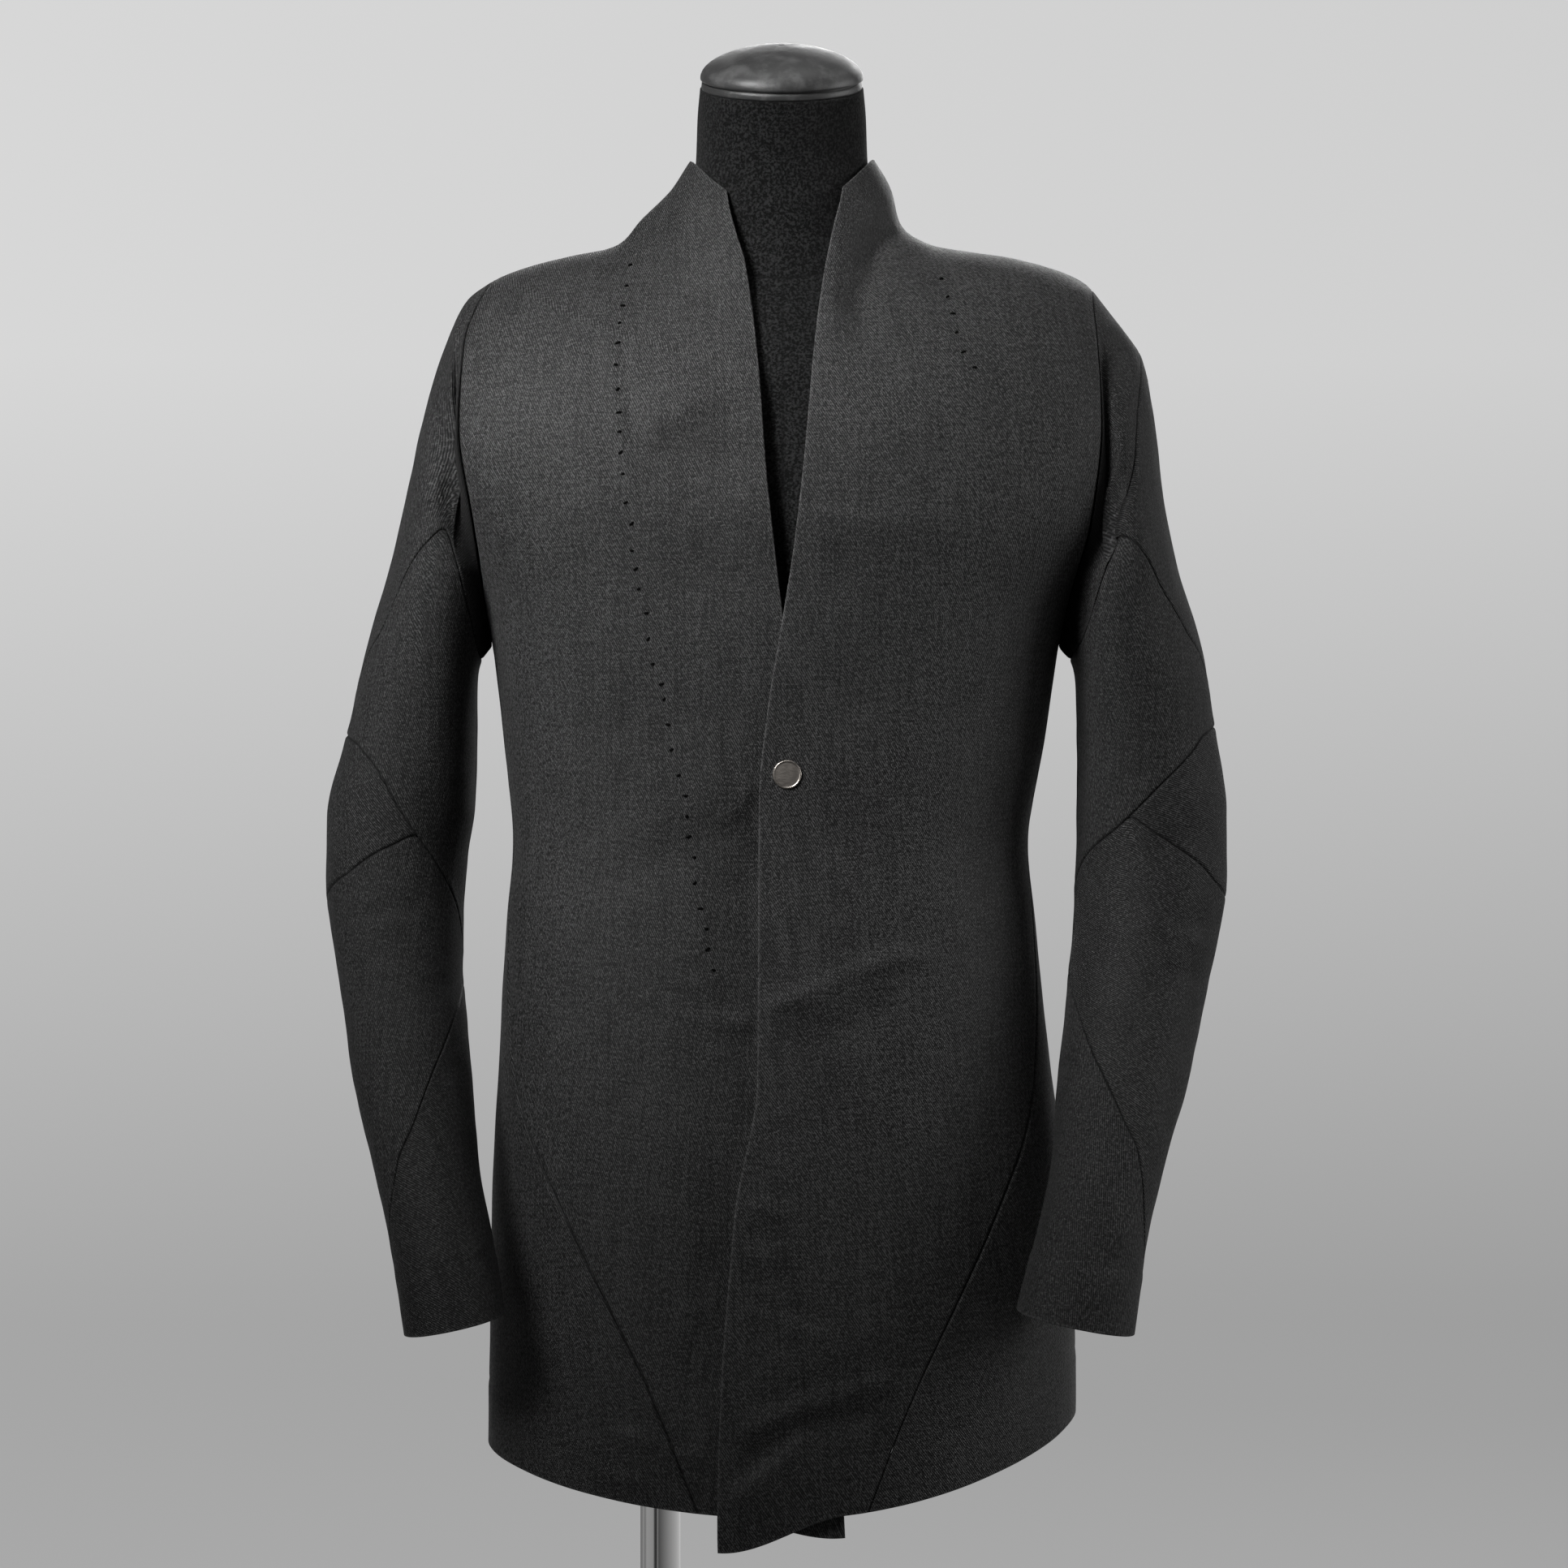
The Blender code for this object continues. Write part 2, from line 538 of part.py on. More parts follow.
def side_panel(name, side, slot):
    rows = dense_rows(LOWER_STEPS)
    front = smooth_curve(SEAM_ROWS, FRONT_SEAM, rows)
    back = smooth_curve(SEAM_ROWS, BACK_SEAM, rows)
    share = np.linspace(0.0, 1.0, SIDE_COLUMNS + 1)
    angles = front[:, None] + (back - front)[:, None] * share[None, :]
    grid_rows = rows[:, None] + np.zeros_like(angles)
    lift = smooth_step((rows - 5.0) / (ARMPIT_ROW - 5.0))
    grid_rows += (side_top(angles[-1]) - ARMPIT_ROW)[None, :] * lift[:, None]
    points, normals = body_grid(side * angles, grid_rows, side)
    return cloth_wall(name, points, normals, slot)


def back_panel(slot):
    rows = upper_rows(BACK_ARMHOLE_STEPS)
    edge = side_boundary(rows, BACK_SEAM)
    across = np.linspace(-1.0, 1.0, BACK_COLUMNS + 1)
    angles = 180 + (180 - edge)[:, None] * across[None, :]
    angles += armhole_angle(rows)[:, None] * (across - across * np.abs(across))[None, :]
    grid_rows = np.broadcast_to(rows[:, None], angles.shape)
    points, normals = body_grid(angles, grid_rows)
    return cloth_wall("back", points, normals, slot)


def back_collar(slot):
    angles, rows = np.meshgrid(np.linspace(90.0, 270.0, BACK_COLUMNS + 1), collar_rows())
    points, normals = body_grid(angles, rows)
    return cloth_wall("back_collar", points, normals, slot)


def armhole_loop(side):
    """Corners of the armhole, from the shoulder down the front and up the back."""
    down_front = np.concatenate(([ARMPIT_ROW], armhole_rows(FRONT_ARMHOLE_STEPS)))[::-1]
    up_back = np.concatenate(([ARMPIT_ROW], armhole_rows(BACK_ARMHOLE_STEPS)))
    half = armhole_angle(ARMPIT_ROW)
    under = np.linspace(90 - half, 90 + half, SIDE_COLUMNS + 1)
    angles = np.concatenate((90 - armhole_angle(down_front), under[1:-1], 90 + armhole_angle(up_back)))
    rows = np.concatenate((down_front, side_top(under)[1:-1], up_back))
    points, _ = body_grid(side * angles, rows, side)
    return points


class Sleeve:
    """A sleeve's surface, over columns round the arm and rows down to the cuff."""

    def __init__(self, side, rings, slants, head_seam, front_folds, back_folds):
        self.side = side
        self.rings = rings
        self.slants = slants
        self.front_folds = front_folds
        self.back_folds = back_folds
        self.loop = armhole_loop(side)
        self.count = len(self.loop) - 1
        self.inner = FRONT_ARMHOLE_STEPS + SIDE_COLUMNS // 2
        lengths = np.linalg.norm(np.diff(self.loop, axis=0), axis=1)
        travelled = np.concatenate(([0.0], np.cumsum(lengths)))
        under = travelled[self.inner]
        down = 180 * travelled / under
        up = 180 + 180 * (travelled - under) / (travelled[-1] - under)
        self.top_angles = np.where(travelled <= under, down, up)
        high = self.armhole(np.arange(self.count + 1) + HEAD_COLUMN)[1]
        ahead = high < 180
        self.head_seam = ((0.0, high[0]), *head_seam)
        seam_end = head_seam[-1][1]
        top_range = np.where(ahead, 180 - high[0], 180 + high[0])
        stretch = np.where(ahead, 180 - seam_end, 180 + seam_end) - top_range
        self.nearness = np.abs(high - 180) / top_range
        stretched = stretch * self.nearness ** np.where(stretch > 0, STRETCH_POWER, 1.0)
        self.low_angles = high + np.where(ahead, -stretched, stretched)

    def armhole(self, column):
        """Point of the armhole at a column, and its angle round the arm."""
        wrapped = np.mod(column, self.count)
        places = np.arange(self.count + 1)
        loop = np.stack([np.interp(wrapped, places, self.loop[:, axis]) for axis in range(3)], axis=-1)
        return loop, np.interp(wrapped, places, self.top_angles) + 360 * np.floor(column / self.count)

    def low_angle(self, column):
        """Angle round the arm at a column, below the bend seam."""
        turns = np.floor((column - HEAD_COLUMN) / self.count)
        places = np.arange(self.count + 1) + HEAD_COLUMN
        return np.interp(column - turns * self.count, places, self.low_angles) + 360 * turns

    def seam_nearness(self, column):
        """1 at the head seam, falling to 0 at the inner seam on both sides."""
        past_head = np.mod(column - HEAD_COLUMN, self.count)
        return np.interp(past_head, np.arange(self.count + 1), self.nearness) ** 2

    def seam_row(self, name, column):
        folded = np.abs(np.mod(self.low_angle(column) + 180, 360) - 180)
        if name == "elbow_bottom":
            width = smooth_curve(SLANT_ANGLES, self.slants["elbow_width"], folded)
            width = np.where(folded < ELBOW_REACH + ELBOW_NOTCH / 2, width, 0.0)
            return self.seam_row("bend_bottom", column) + width
        return smooth_curve(SLANT_ANGLES, self.slants[name], folded)

    def point(self, column, row):
        column, row = np.broadcast_arrays(np.asarray(column, dtype=float), np.asarray(row, dtype=float))
        low = self.low_angle(column)
        loop, high = self.armhole(column)
        depth = np.clip(row / self.seam_row("bend_top", column), 0.0, 1.0)
        places, angles = zip(*self.head_seam)
        straight = angles[0] + (angles[-1] - angles[0]) * depth
        shift = (smooth_curve(places, angles, depth) - straight) * self.seam_nearness(column)
        left_over = loop - self.ring_point(high, np.zeros_like(row))
        fade = 1 - smooth_step(row / ARMHOLE_FADE)[..., None]
        return self.ring_point(high + (low - high) * depth + shift, row) + left_over * fade

    def ring_point(self, angle, row):
        def value(name):
            return table_value(self.rings, SLEEVE_COLUMNS, name, row)

        turn = np.radians(angle)
        across, deep = ring_factors(np.cos(turn), np.sin(turn), SLEEVE_POWER)
        x = (value("x_outer") * (1 + across) + value("x_inner") * (1 - across)) / 2
        z = (value("z_outer") * (1 + across) + value("z_inner") * (1 - across)) / 2
        y = value("y_middle") - deep * value("half_depth")
        return np.stack((x, y, z), axis=-1)

    def grid(self, columns, rows):
        """Points and outward normals, with the folds on them."""
        base = self.point(columns, rows)
        normals = surface_normal(self.point, columns, rows, 0.5, 0.06) * self.side
        facing = np.sin(np.radians(self.low_angle(columns))) * 2.5
        height = (fold_height(base, self.front_folds) * np.clip(facing, 0.0, 1.0)
                  + fold_height(base, self.back_folds) * np.clip(-facing, 0.0, 1.0))
        height *= smooth_step(rows / 1.2)
        return base + normals * height[..., None], normals

    def panel(self, name, columns, top, bottom, steps, slot):
        """Wall between two curves of rows, over the given columns."""
        share = np.linspace(0.0, 1.0, steps + 1)[:, None]
        rows = top * (1 - share) + bottom * share
        points, normals = self.grid(np.broadcast_to(columns, rows.shape), rows)
        return cloth_wall(name, points, normals, slot)

    def column_at(self, angle):
        """Column at an angle between the inner seam behind the arm and the one ahead."""
        columns = np.arange(self.inner - self.count, self.inner + 1)
        return np.interp(angle, self.low_angle(columns), columns)

    def build(self, prefix, slot):
        tips = self.column_at(np.array((-ELBOW_REACH, ELBOW_REACH)))
        tips = np.where(np.abs(tips - np.round(tips)) < COLUMN_APART, np.round(tips), tips)
        notches = self.column_at(np.array((-ELBOW_REACH - ELBOW_NOTCH, ELBOW_REACH + ELBOW_NOTCH)))
        whole = np.arange(self.inner - self.count, self.inner + 1, dtype=float)
        pieces = np.ceil(np.diff(self.low_angle(whole)) / WIDE_COLUMN).astype(int)
        between = np.concatenate([start + np.arange(1, count) / count for start, count in zip(whole, pieces)])
        tip_columns = np.concatenate((tips, notches))
        apart = np.abs(between[:, None] - tip_columns[None, :]).min(axis=1) > COLUMN_APART
        round_arm = np.unique(np.concatenate((whole, tip_columns, between[apart])))
        head = round_arm[round_arm >= HEAD_COLUMN]
        rest = round_arm[round_arm <= HEAD_COLUMN] + self.count
        elbow = round_arm[(round_arm >= tips[0]) & (round_arm <= tips[1])]
        panels = (
            ("_sleeve_front", head, "armhole", "bend_top", UPPER_SLEEVE_STEPS),
            ("_sleeve_back", rest, "armhole", "bend_top", UPPER_SLEEVE_STEPS),
            ("_sleeve_bend", round_arm, "bend_top", "bend_bottom", BEND_STEPS),
            ("_sleeve_elbow", elbow, "bend_bottom", "elbow_bottom", ELBOW_STEPS),
            ("_sleeve_forearm", round_arm, "elbow_bottom", "cuff_top", FOREARM_STEPS),
            ("_sleeve_cuff", round_arm, "cuff_top", "cuff", CUFF_STEPS),
        )
        ends = {"armhole": 0.0, "cuff": CUFF_ROW}
        for suffix, columns, top, bottom, steps in panels:
            limits = [np.full(len(columns), ends[name]) if name in ends else self.seam_row(name, columns)
                      for name in (top, bottom)]
            self.panel(prefix + suffix, columns, *limits, steps, slot)


def form_surface(angle, row):
    return body_point(angle, row, armholes=False)


def form_torso(slot):
    """Smooth torso and neck inside the garment, closed at both ends."""
    angles = np.arange(FORM_SIDES) * 360 / FORM_SIDES
    rings = []
    for row, inset in zip(FORM_ROWS, FORM_INSET):
        rows = np.full_like(angles, row)
        front = np.clip(np.cos(np.radians(angles)), 0.0, 1.0) ** 2
        normals = surface_normal(form_surface, angles, rows, 1.0, 0.04)
        rings.append(form_surface(angles, rows) - normals * (inset + FORM_FRONT_INSET * front)[:, None])
    floor = rings[0] * (FORM_FLOOR_SHARE, FORM_FLOOR_SHARE, 0.0) + (0.0, 0.0, FORM_FLOOR)
    rings.insert(0, floor)
    turn = np.radians(angles)
    for z_front, z_side, z_back, half_width, y_front, y_back in NECK_RINGS:
        x = NECK_CENTRE_X + half_width * np.sin(turn)
        y = (y_front + y_back) / 2 + (y_front - y_back) / 2 * np.cos(turn)
        middle = (z_front + z_back) / 2
        z = middle + (z_front - z_back) / 2 * np.cos(turn) + (z_side - middle) * np.sin(turn) ** 2
        rings.append(np.stack((x, y, z), axis=-1))
    vertices = np.concatenate(rings)
    faces = [tuple(range(FORM_SIDES))]
    for ring in range(len(rings) - 1):
        for corner in range(FORM_SIDES):
            here, after = ring * FORM_SIDES + corner, ring * FORM_SIDES + (corner + 1) % FORM_SIDES
            faces.append((here, after, after + FORM_SIDES, here + FORM_SIDES))
    faces.append(tuple(range(len(vertices) - FORM_SIDES, len(vertices))))
    mesh = bpy.data.meshes.new("form_torso")
    mesh.from_pydata(vertices.tolist(), [], faces)
    return finish_mesh("form_torso", mesh, slot)


def turned(name, profile, sides, slot, place=Matrix.Identity(4)):
    """Solid of revolution about its own Z axis; the profile runs from axis to axis, upward."""
    vertices = [(0.0, 0.0, profile[0][1])]
    for radius, height in profile[1:-1]:
        for corner in range(sides):
            turn = 2 * math.pi * corner / sides
            vertices.append((radius * math.cos(turn), radius * math.sin(turn), height))
    vertices.append((0.0, 0.0, profile[-1][1]))
    last = len(vertices) - 1
    faces = []
    for corner in range(sides):
        after = (corner + 1) % sides
        faces.append((0, 1 + after, 1 + corner))
        for ring in range(len(profile) - 3):
            low, high = 1 + ring * sides, 1 + (ring + 1) * sides
            faces.append((low + corner, low + after, high + after, high + corner))
        faces.append((last, last - sides + corner, last - sides + after))
    mesh = bpy.data.meshes.new(name)
    mesh.from_pydata(vertices, [], faces)
    mesh.transform(place)
    return finish_mesh(name, mesh, slot)


def form_cap(slot):
    z_front, _, z_back, _, y_front, y_back = NECK_RINGS[-1]
    tilt = math.atan2(z_back - z_front, y_back - y_front)
    centre = Matrix.Translation((NECK_CENTRE_X, (y_front + y_back) / 2, (z_front + z_back) / 2))
    place = centre @ Matrix.Rotation(tilt, 4, "X") @ Matrix.Translation((0.0, 0.0, TOUCH_GAP))
    profile = [(0.0, 0.0), (CAP_RADIUS - 0.001, 0.0), (CAP_RADIUS, 0.001), (CAP_RADIUS, CAP_BAND)]
    for step in range(1, CAP_STEPS):
        turn = math.pi / 2 * step / CAP_STEPS
        profile.append((CAP_RADIUS * math.cos(turn) ** 0.8, CAP_BAND + (CAP_HEIGHT - CAP_BAND) * math.sin(turn)))
    profile.append((0.0, CAP_HEIGHT))
    return turned("form_cap", profile, 32, slot, place)


def snap_cap(slot):
    """Flat metal cap of the snap, on the left front's outer face."""
    rows = np.linspace(ARMPIT_ROW - 2, ARMPIT_ROW, 81)
    heights = body_point(np.zeros_like(rows), rows)[:, 2]
    row = np.interp(SNAP_Z, heights, rows)
    angle = math.degrees(math.asin(SNAP_X / body_point(90.0, row)[0]))
    points, normals = body_grid(np.array([angle]), np.array([row]), 1)
    turn = Vector(normals[0]).to_track_quat("Z", "Y").to_matrix().to_4x4()
    place = Matrix.Translation(points[0] + normals[0] * SNAP_GAP) @ turn
    rim = SNAP_THICKNESS
    profile = (
        (0.0, 0.0), (SNAP_RADIUS - 0.0005, 0.0), (SNAP_RADIUS, 0.0005), (SNAP_RADIUS, rim - 0.0005),
        (SNAP_RADIUS - 0.0006, rim), (SNAP_RADIUS - 0.0012, rim), (SNAP_RADIUS - 0.0018, rim - 0.0003),
        (0.0, rim - 0.0003),
    )
    return turned("snap_cap", profile, 24, slot, place)


def stand(pole_slot, base_slot):
    bottom = BASE_THICKNESS + TOUCH_GAP
    top = FORM_FLOOR - TOUCH_GAP
    pole = ((0.0, bottom), (POLE_RADIUS, bottom), (POLE_RADIUS, top), (0.0, top))
    turned("pole", pole, 24, pole_slot, Matrix.Translation((POLE_X, 0.0, 0.0)))
    plate = (
        (0.0, 0.0), (BASE_RADIUS - BASE_CHAMFER, 0.0), (BASE_RADIUS, BASE_CHAMFER),
        (BASE_RADIUS, BASE_THICKNESS - BASE_CHAMFER), (BASE_RADIUS - BASE_CHAMFER, BASE_THICKNESS),
        (0.0, BASE_THICKNESS),
    )
    turned("base_plate", plate, 64, base_slot)


def build_all():
    clear_scene()
    denim = material("coated_denim", (0.022, 0.022, 0.024), 0.5)
    felt = material("form_felt", (0.055, 0.055, 0.057), 0.95)
    satin = material("form_cap_satin", (0.012, 0.012, 0.013), 0.35)
    chrome = material("chrome", (0.80, 0.80, 0.82), 0.08, 1.0)
    steel = material("brushed_steel", (0.55, 0.55, 0.56), 0.32, 1.0)
    silver = material("snap_metal", (0.78, 0.78, 0.78), 0.30, 1.0)
    front_panel("left_front", LEFT_EDGE, 1, LEFT_CORNER_DROP, denim)
    front_panel("right_front", RIGHT_EDGE, -1, RIGHT_CORNER_DROP, denim)
    side_panel("left_side_panel", 1, denim)
    side_panel("right_side_panel", -1, denim)
    back_panel(denim)
    back_collar(denim)
    left_folds = (LEFT_SLEEVE_FOLDS, LEFT_SLEEVE_BACK_FOLDS)
    right_folds = (RIGHT_SLEEVE_FOLDS, RIGHT_SLEEVE_BACK_FOLDS)
    Sleeve(1, LEFT_SLEEVE, LEFT_SLANTS, LEFT_HEAD_SEAM, *left_folds).build("left", denim)
    Sleeve(-1, RIGHT_SLEEVE, RIGHT_SLANTS, RIGHT_HEAD_SEAM, *right_folds).build("right", denim)
    snap_cap(silver)
    form_torso(felt)
    form_cap(satin)
    stand(chrome, steel)


build_all()
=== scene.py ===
"""Looks of the denim blazer on its limbless dress form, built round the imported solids.

In metres, +Z up; the garment's front faces -Y and +X is the wearer's left. Each panel of
cloth is the surface of its own solid, divided far more finely, with puffed seams, rolled
edges and fine creases on it.
"""

import math
from functools import reduce

import bpy
import numpy as np
from mathutils import Matrix, Vector


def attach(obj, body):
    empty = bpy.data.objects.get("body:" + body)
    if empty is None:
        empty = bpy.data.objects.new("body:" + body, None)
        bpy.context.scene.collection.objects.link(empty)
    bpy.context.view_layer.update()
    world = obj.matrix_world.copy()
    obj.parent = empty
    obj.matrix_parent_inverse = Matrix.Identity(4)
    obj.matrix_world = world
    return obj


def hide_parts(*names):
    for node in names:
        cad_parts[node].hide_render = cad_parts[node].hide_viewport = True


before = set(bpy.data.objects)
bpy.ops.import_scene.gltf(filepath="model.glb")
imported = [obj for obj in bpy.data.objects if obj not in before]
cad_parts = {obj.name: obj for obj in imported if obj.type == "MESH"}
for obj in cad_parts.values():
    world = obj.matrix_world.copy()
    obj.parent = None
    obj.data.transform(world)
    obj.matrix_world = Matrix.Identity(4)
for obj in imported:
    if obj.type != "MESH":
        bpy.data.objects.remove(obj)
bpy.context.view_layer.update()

# Cloth
CLOTH = 0.0018
INNER_BEVEL = 0.0010
LAYER_STEP = 0.0018
LAYER_FULL_TO = 0.062
LAYER_FADE = 0.090
LAYER_TOP = 1.30
LAYER_TUCK = 0.0040
LAYER_TUCK_REACH = 0.022

# Body of the garment, one row for each ring from the hem to the collar's top
BODY_COLUMNS = ("z_front", "z_right", "z_left", "z_back", "x_right", "x_left", "y_front", "y_back", "power")
BODY_RINGS = (
    (0.606, 0.638, 0.659, 0.642, 0.2027, 0.2010, 0.138, 0.130, 2.2),
    (0.685, 0.700, 0.712, 0.704, 0.2022, 0.2008, 0.137, 0.130, 2.2),
    (0.792, 0.800, 0.803, 0.800, 0.2005, 0.1965, 0.132, 0.128, 2.2),
    (0.896, 0.900, 0.900, 0.900, 0.1960, 0.1835, 0.124, 0.118, 2.2),
    (0.998, 1.000, 1.000, 1.000, 0.1900, 0.1732, 0.116, 0.101, 2.2),
    (1.048, 1.050, 1.050, 1.052, 0.1862, 0.1688, 0.113, 0.095, 2.2),
    (1.119, 1.120, 1.120, 1.124, 0.1925, 0.1800, 0.117, 0.101, 2.2),
    (1.202, 1.206, 1.206, 1.212, 0.2022, 0.1928, 0.124, 0.112, 2.3),
    (1.262, 1.270, 1.270, 1.280, 0.2100, 0.2085, 0.125, 0.119, 2.4),
    (1.312, 1.340, 1.340, 1.345, 0.2195, 0.2156, 0.119, 0.119, 2.4),
    (1.348, 1.400, 1.400, 1.392, 0.2170, 0.2140, 0.109, 0.109, 2.3),
    (1.368, 1.437, 1.431, 1.420, 0.1975, 0.2105, 0.101, 0.099, 2.2),
    (1.388, 1.4525, 1.4515, 1.440, 0.1520, 0.1620, 0.093, 0.089, 2.1),
    (1.410, 1.4613, 1.4613, 1.462, 0.1142, 0.1014, 0.085, 0.079, 2.0),
    (1.436, 1.4800, 1.4760, 1.483, 0.0970, 0.0805, 0.077, 0.070, 2.0),
    (1.457, 1.4990, 1.4990, 1.504, 0.0780, 0.0745, 0.071, 0.065, 2.0),
    (1.477, 1.5195, 1.5205, 1.528, 0.0640, 0.0624, 0.067, 0.061, 2.0),
)
ARMPIT_ROW = 7.0
SHOULDER_ROW = 11.0
NECK_ROW = 13.0
COLLAR_ROW = 16.0
ARMHOLE_HALF_ANGLE = 34.0
ARMHOLE_START = 6.92
ARMHOLE_DIP = 0.25
DIP_FROM_ROW = 5.0

# Seam between front and side panel, and between side panel and back, as angles
SEAM_ROWS = (0.0, 1.0, 2.0, 3.0, 4.0, 5.0, 7.0)
FRONT_SEAM = (16.0, 25.5, 44.0, 66.5, 78.5, 81.5, 81.8)
BACK_SEAM = (140.0, 134.0, 122.0, 110.0, 103.0, 100.5, 98.2)

# Front edges seen from the front: height, and how far the edge lies to the wearer's left
RIGHT_EDGE = (
    (0.560, 0.0440), (0.620, 0.0410), (0.900, 0.0230), (1.097, 0.0155), (1.2056, -0.0005),
    (1.2357, -0.0043), (1.3029, -0.0114), (1.3687, -0.0163), (1.4412, -0.0256),
    (1.4643, -0.0324), (1.4800, -0.0365), (1.5300, -0.0440),
)
LEFT_EDGE = (
    (0.560, -0.0405), (0.6215, -0.0433), (0.8038, -0.0322), (0.8943, -0.0172), (1.0800, -0.0161),
    (1.1400, -0.0102), (1.1997, -0.0005), (1.2475, 0.0070), (1.3085, 0.0140), (1.3884, 0.0212),
    (1.4265, 0.0262), (1.4698, 0.0346), (1.4886, 0.0395), (1.5300, 0.0450),
)
LEFT_CORNER_DROP = 0.024
RIGHT_CORNER_DROP = 0.016
CORNER_REACH = 0.085
CORNER_ROWS = 1.6

# Large folds as they look from the front
# Columns: x_start, z_start, x_end, z_end, half_width, height
FRONT_FOLDS = (
    (0.073, 1.474, 0.034, 1.396, 0.011, -0.0040),
    (0.050, 1.420, 0.028, 1.340, 0.012, 0.0022),
    (0.088, 1.463, 0.104, 1.456, 0.006, 0.0020),
    (-0.085, 1.472, -0.122, 1.432, 0.014, -0.0018),
    (-0.020, 1.092, -0.118, 1.050, 0.014, 0.0026),
    (-0.022, 1.070, -0.125, 1.018, 0.013, -0.0030),
    (-0.010, 0.930, -0.105, 0.950, 0.015, -0.0032),
    (-0.008, 0.922, 0.078, 0.972, 0.012, 0.0034),
    (-0.006, 0.900, 0.092, 0.948, 0.014, -0.0034),
    (0.006, 1.075, 0.120, 1.165, 0.020, 0.0024),
    (-0.030, 0.745, 0.040, 0.728, 0.012, -0.0032),
    (-0.034, 0.690, 0.075, 0.736, 0.013, 0.0036),
    (-0.040, 0.655, 0.055, 0.690, 0.012, -0.0036),
    (-0.034, 0.628, 0.030, 0.662, 0.011, 0.0034),
    (-0.065, 0.690, -0.100, 0.610, 0.016, 0.0040),
    (-0.130, 1.000, -0.110, 0.760, 0.028, -0.0030),
    (0.135, 0.960, 0.150, 0.800, 0.026, -0.0030),
)
BACK_FOLDS = (
    (-0.020, 1.080, -0.140, 1.040, 0.018, -0.0040),
    (0.015, 1.060, 0.135, 1.030, 0.018, -0.0038),
    (-0.010, 1.030, 0.100, 1.005, 0.016, 0.0034),
    (-0.060, 0.980, -0.085, 0.700, 0.030, -0.0045),
    (0.050, 0.960, 0.095, 0.690, 0.032, -0.0045),
    (-0.100, 1.400, -0.150, 1.220, 0.022, -0.0035),
    (0.105, 1.395, 0.158, 1.225, 0.022, -0.0035),
    (0.000, 0.920, 0.006, 0.660, 0.028, 0.0040),
)

# Sleeves: where each ring passes the outer and the inner side of the arm
SLEEVE_COLUMNS = ("x_outer", "z_outer", "x_inner", "z_inner", "y_middle", "half_depth")
LEFT_SLEEVE = (
    (0.2105, 1.4310, 0.1920, 1.1900, 0.000, 0.0660),
    (0.2296, 1.4064, 0.1950, 1.1840, 0.000, 0.0670),
    (0.2464, 1.3846, 0.1985, 1.1770, 0.000, 0.0680),
    (0.2542, 1.3493, 0.2010, 1.1680, 0.001, 0.0690),
    (0.2615, 1.2916, 0.2025, 1.1550, 0.003, 0.0695),
    (0.2705, 1.2446, 0.2030, 1.1380, 0.005, 0.0690),
    (0.2834, 1.2042, 0.2033, 1.1190, 0.007, 0.0680),
    (0.2900, 1.1800, 0.2036, 1.1030, 0.008, 0.0665),
    (0.2980, 1.1298, 0.2033, 1.0730, 0.009, 0.0645),
    (0.3063, 1.0715, 0.2028, 1.0400, 0.008, 0.0625),
    (0.3060, 1.0262, 0.2010, 1.0050, 0.002, 0.0605),
    (0.2960, 0.9720, 0.1968, 0.9640, -0.012, 0.0580),
    (0.2856, 0.9316, 0.1925, 0.9300, -0.028, 0.0560),
    (0.2746, 0.8895, 0.1861, 0.8895, -0.052, 0.0535),
    (0.2552, 0.8359, 0.1795, 0.8330, -0.085, 0.0495),
    (0.2405, 0.7806, 0.1655, 0.7806, -0.112, 0.0460),
    (0.2317, 0.7269, 0.1545, 0.7425, -0.128, 0.0440),
)
RIGHT_SLEEVE = (
    (-0.1975, 1.4370, -0.2010, 1.1900, 0.000, 0.0660),
    (-0.2156, 1.4238, -0.2045, 1.1840, 0.000, 0.0670),
    (-0.2302, 1.3969, -0.2080, 1.1770, 0.000, 0.0680),
    (-0.2425, 1.3616, -0.2105, 1.1680, 0.001, 0.0690),
    (-0.2570, 1.2994, -0.2115, 1.1550, 0.003, 0.0695),
    (-0.2694, 1.2457, -0.2118, 1.1380, 0.005, 0.0690),
    (-0.2815, 1.2060, -0.2120, 1.1190, 0.007, 0.0680),
    (-0.2880, 1.1820, -0.2122, 1.1030, 0.008, 0.0665),
    (-0.3000, 1.1298, -0.2135, 1.0730, 0.009, 0.0645),
    (-0.3150, 1.0680, -0.2185, 1.0400, 0.008, 0.0625),
    (-0.3153, 1.0262, -0.2205, 1.0050, 0.002, 0.0605),
    (-0.3070, 0.9700, -0.2205, 0.9640, -0.011, 0.0580),
    (-0.3005, 0.9361, -0.2172, 0.9340, -0.024, 0.0560),
    (-0.2918, 0.8892, -0.2113, 0.8880, -0.045, 0.0535),
    (-0.2760, 0.8347, -0.2050, 0.8347, -0.074, 0.0495),
    (-0.2608, 0.7788, -0.1924, 0.7788, -0.100, 0.0460),
    (-0.2507, 0.7250, -0.1854, 0.7385, -0.116, 0.0430),
)
SLEEVE_POWER = 2.15
CUFF_ROW = 16.0

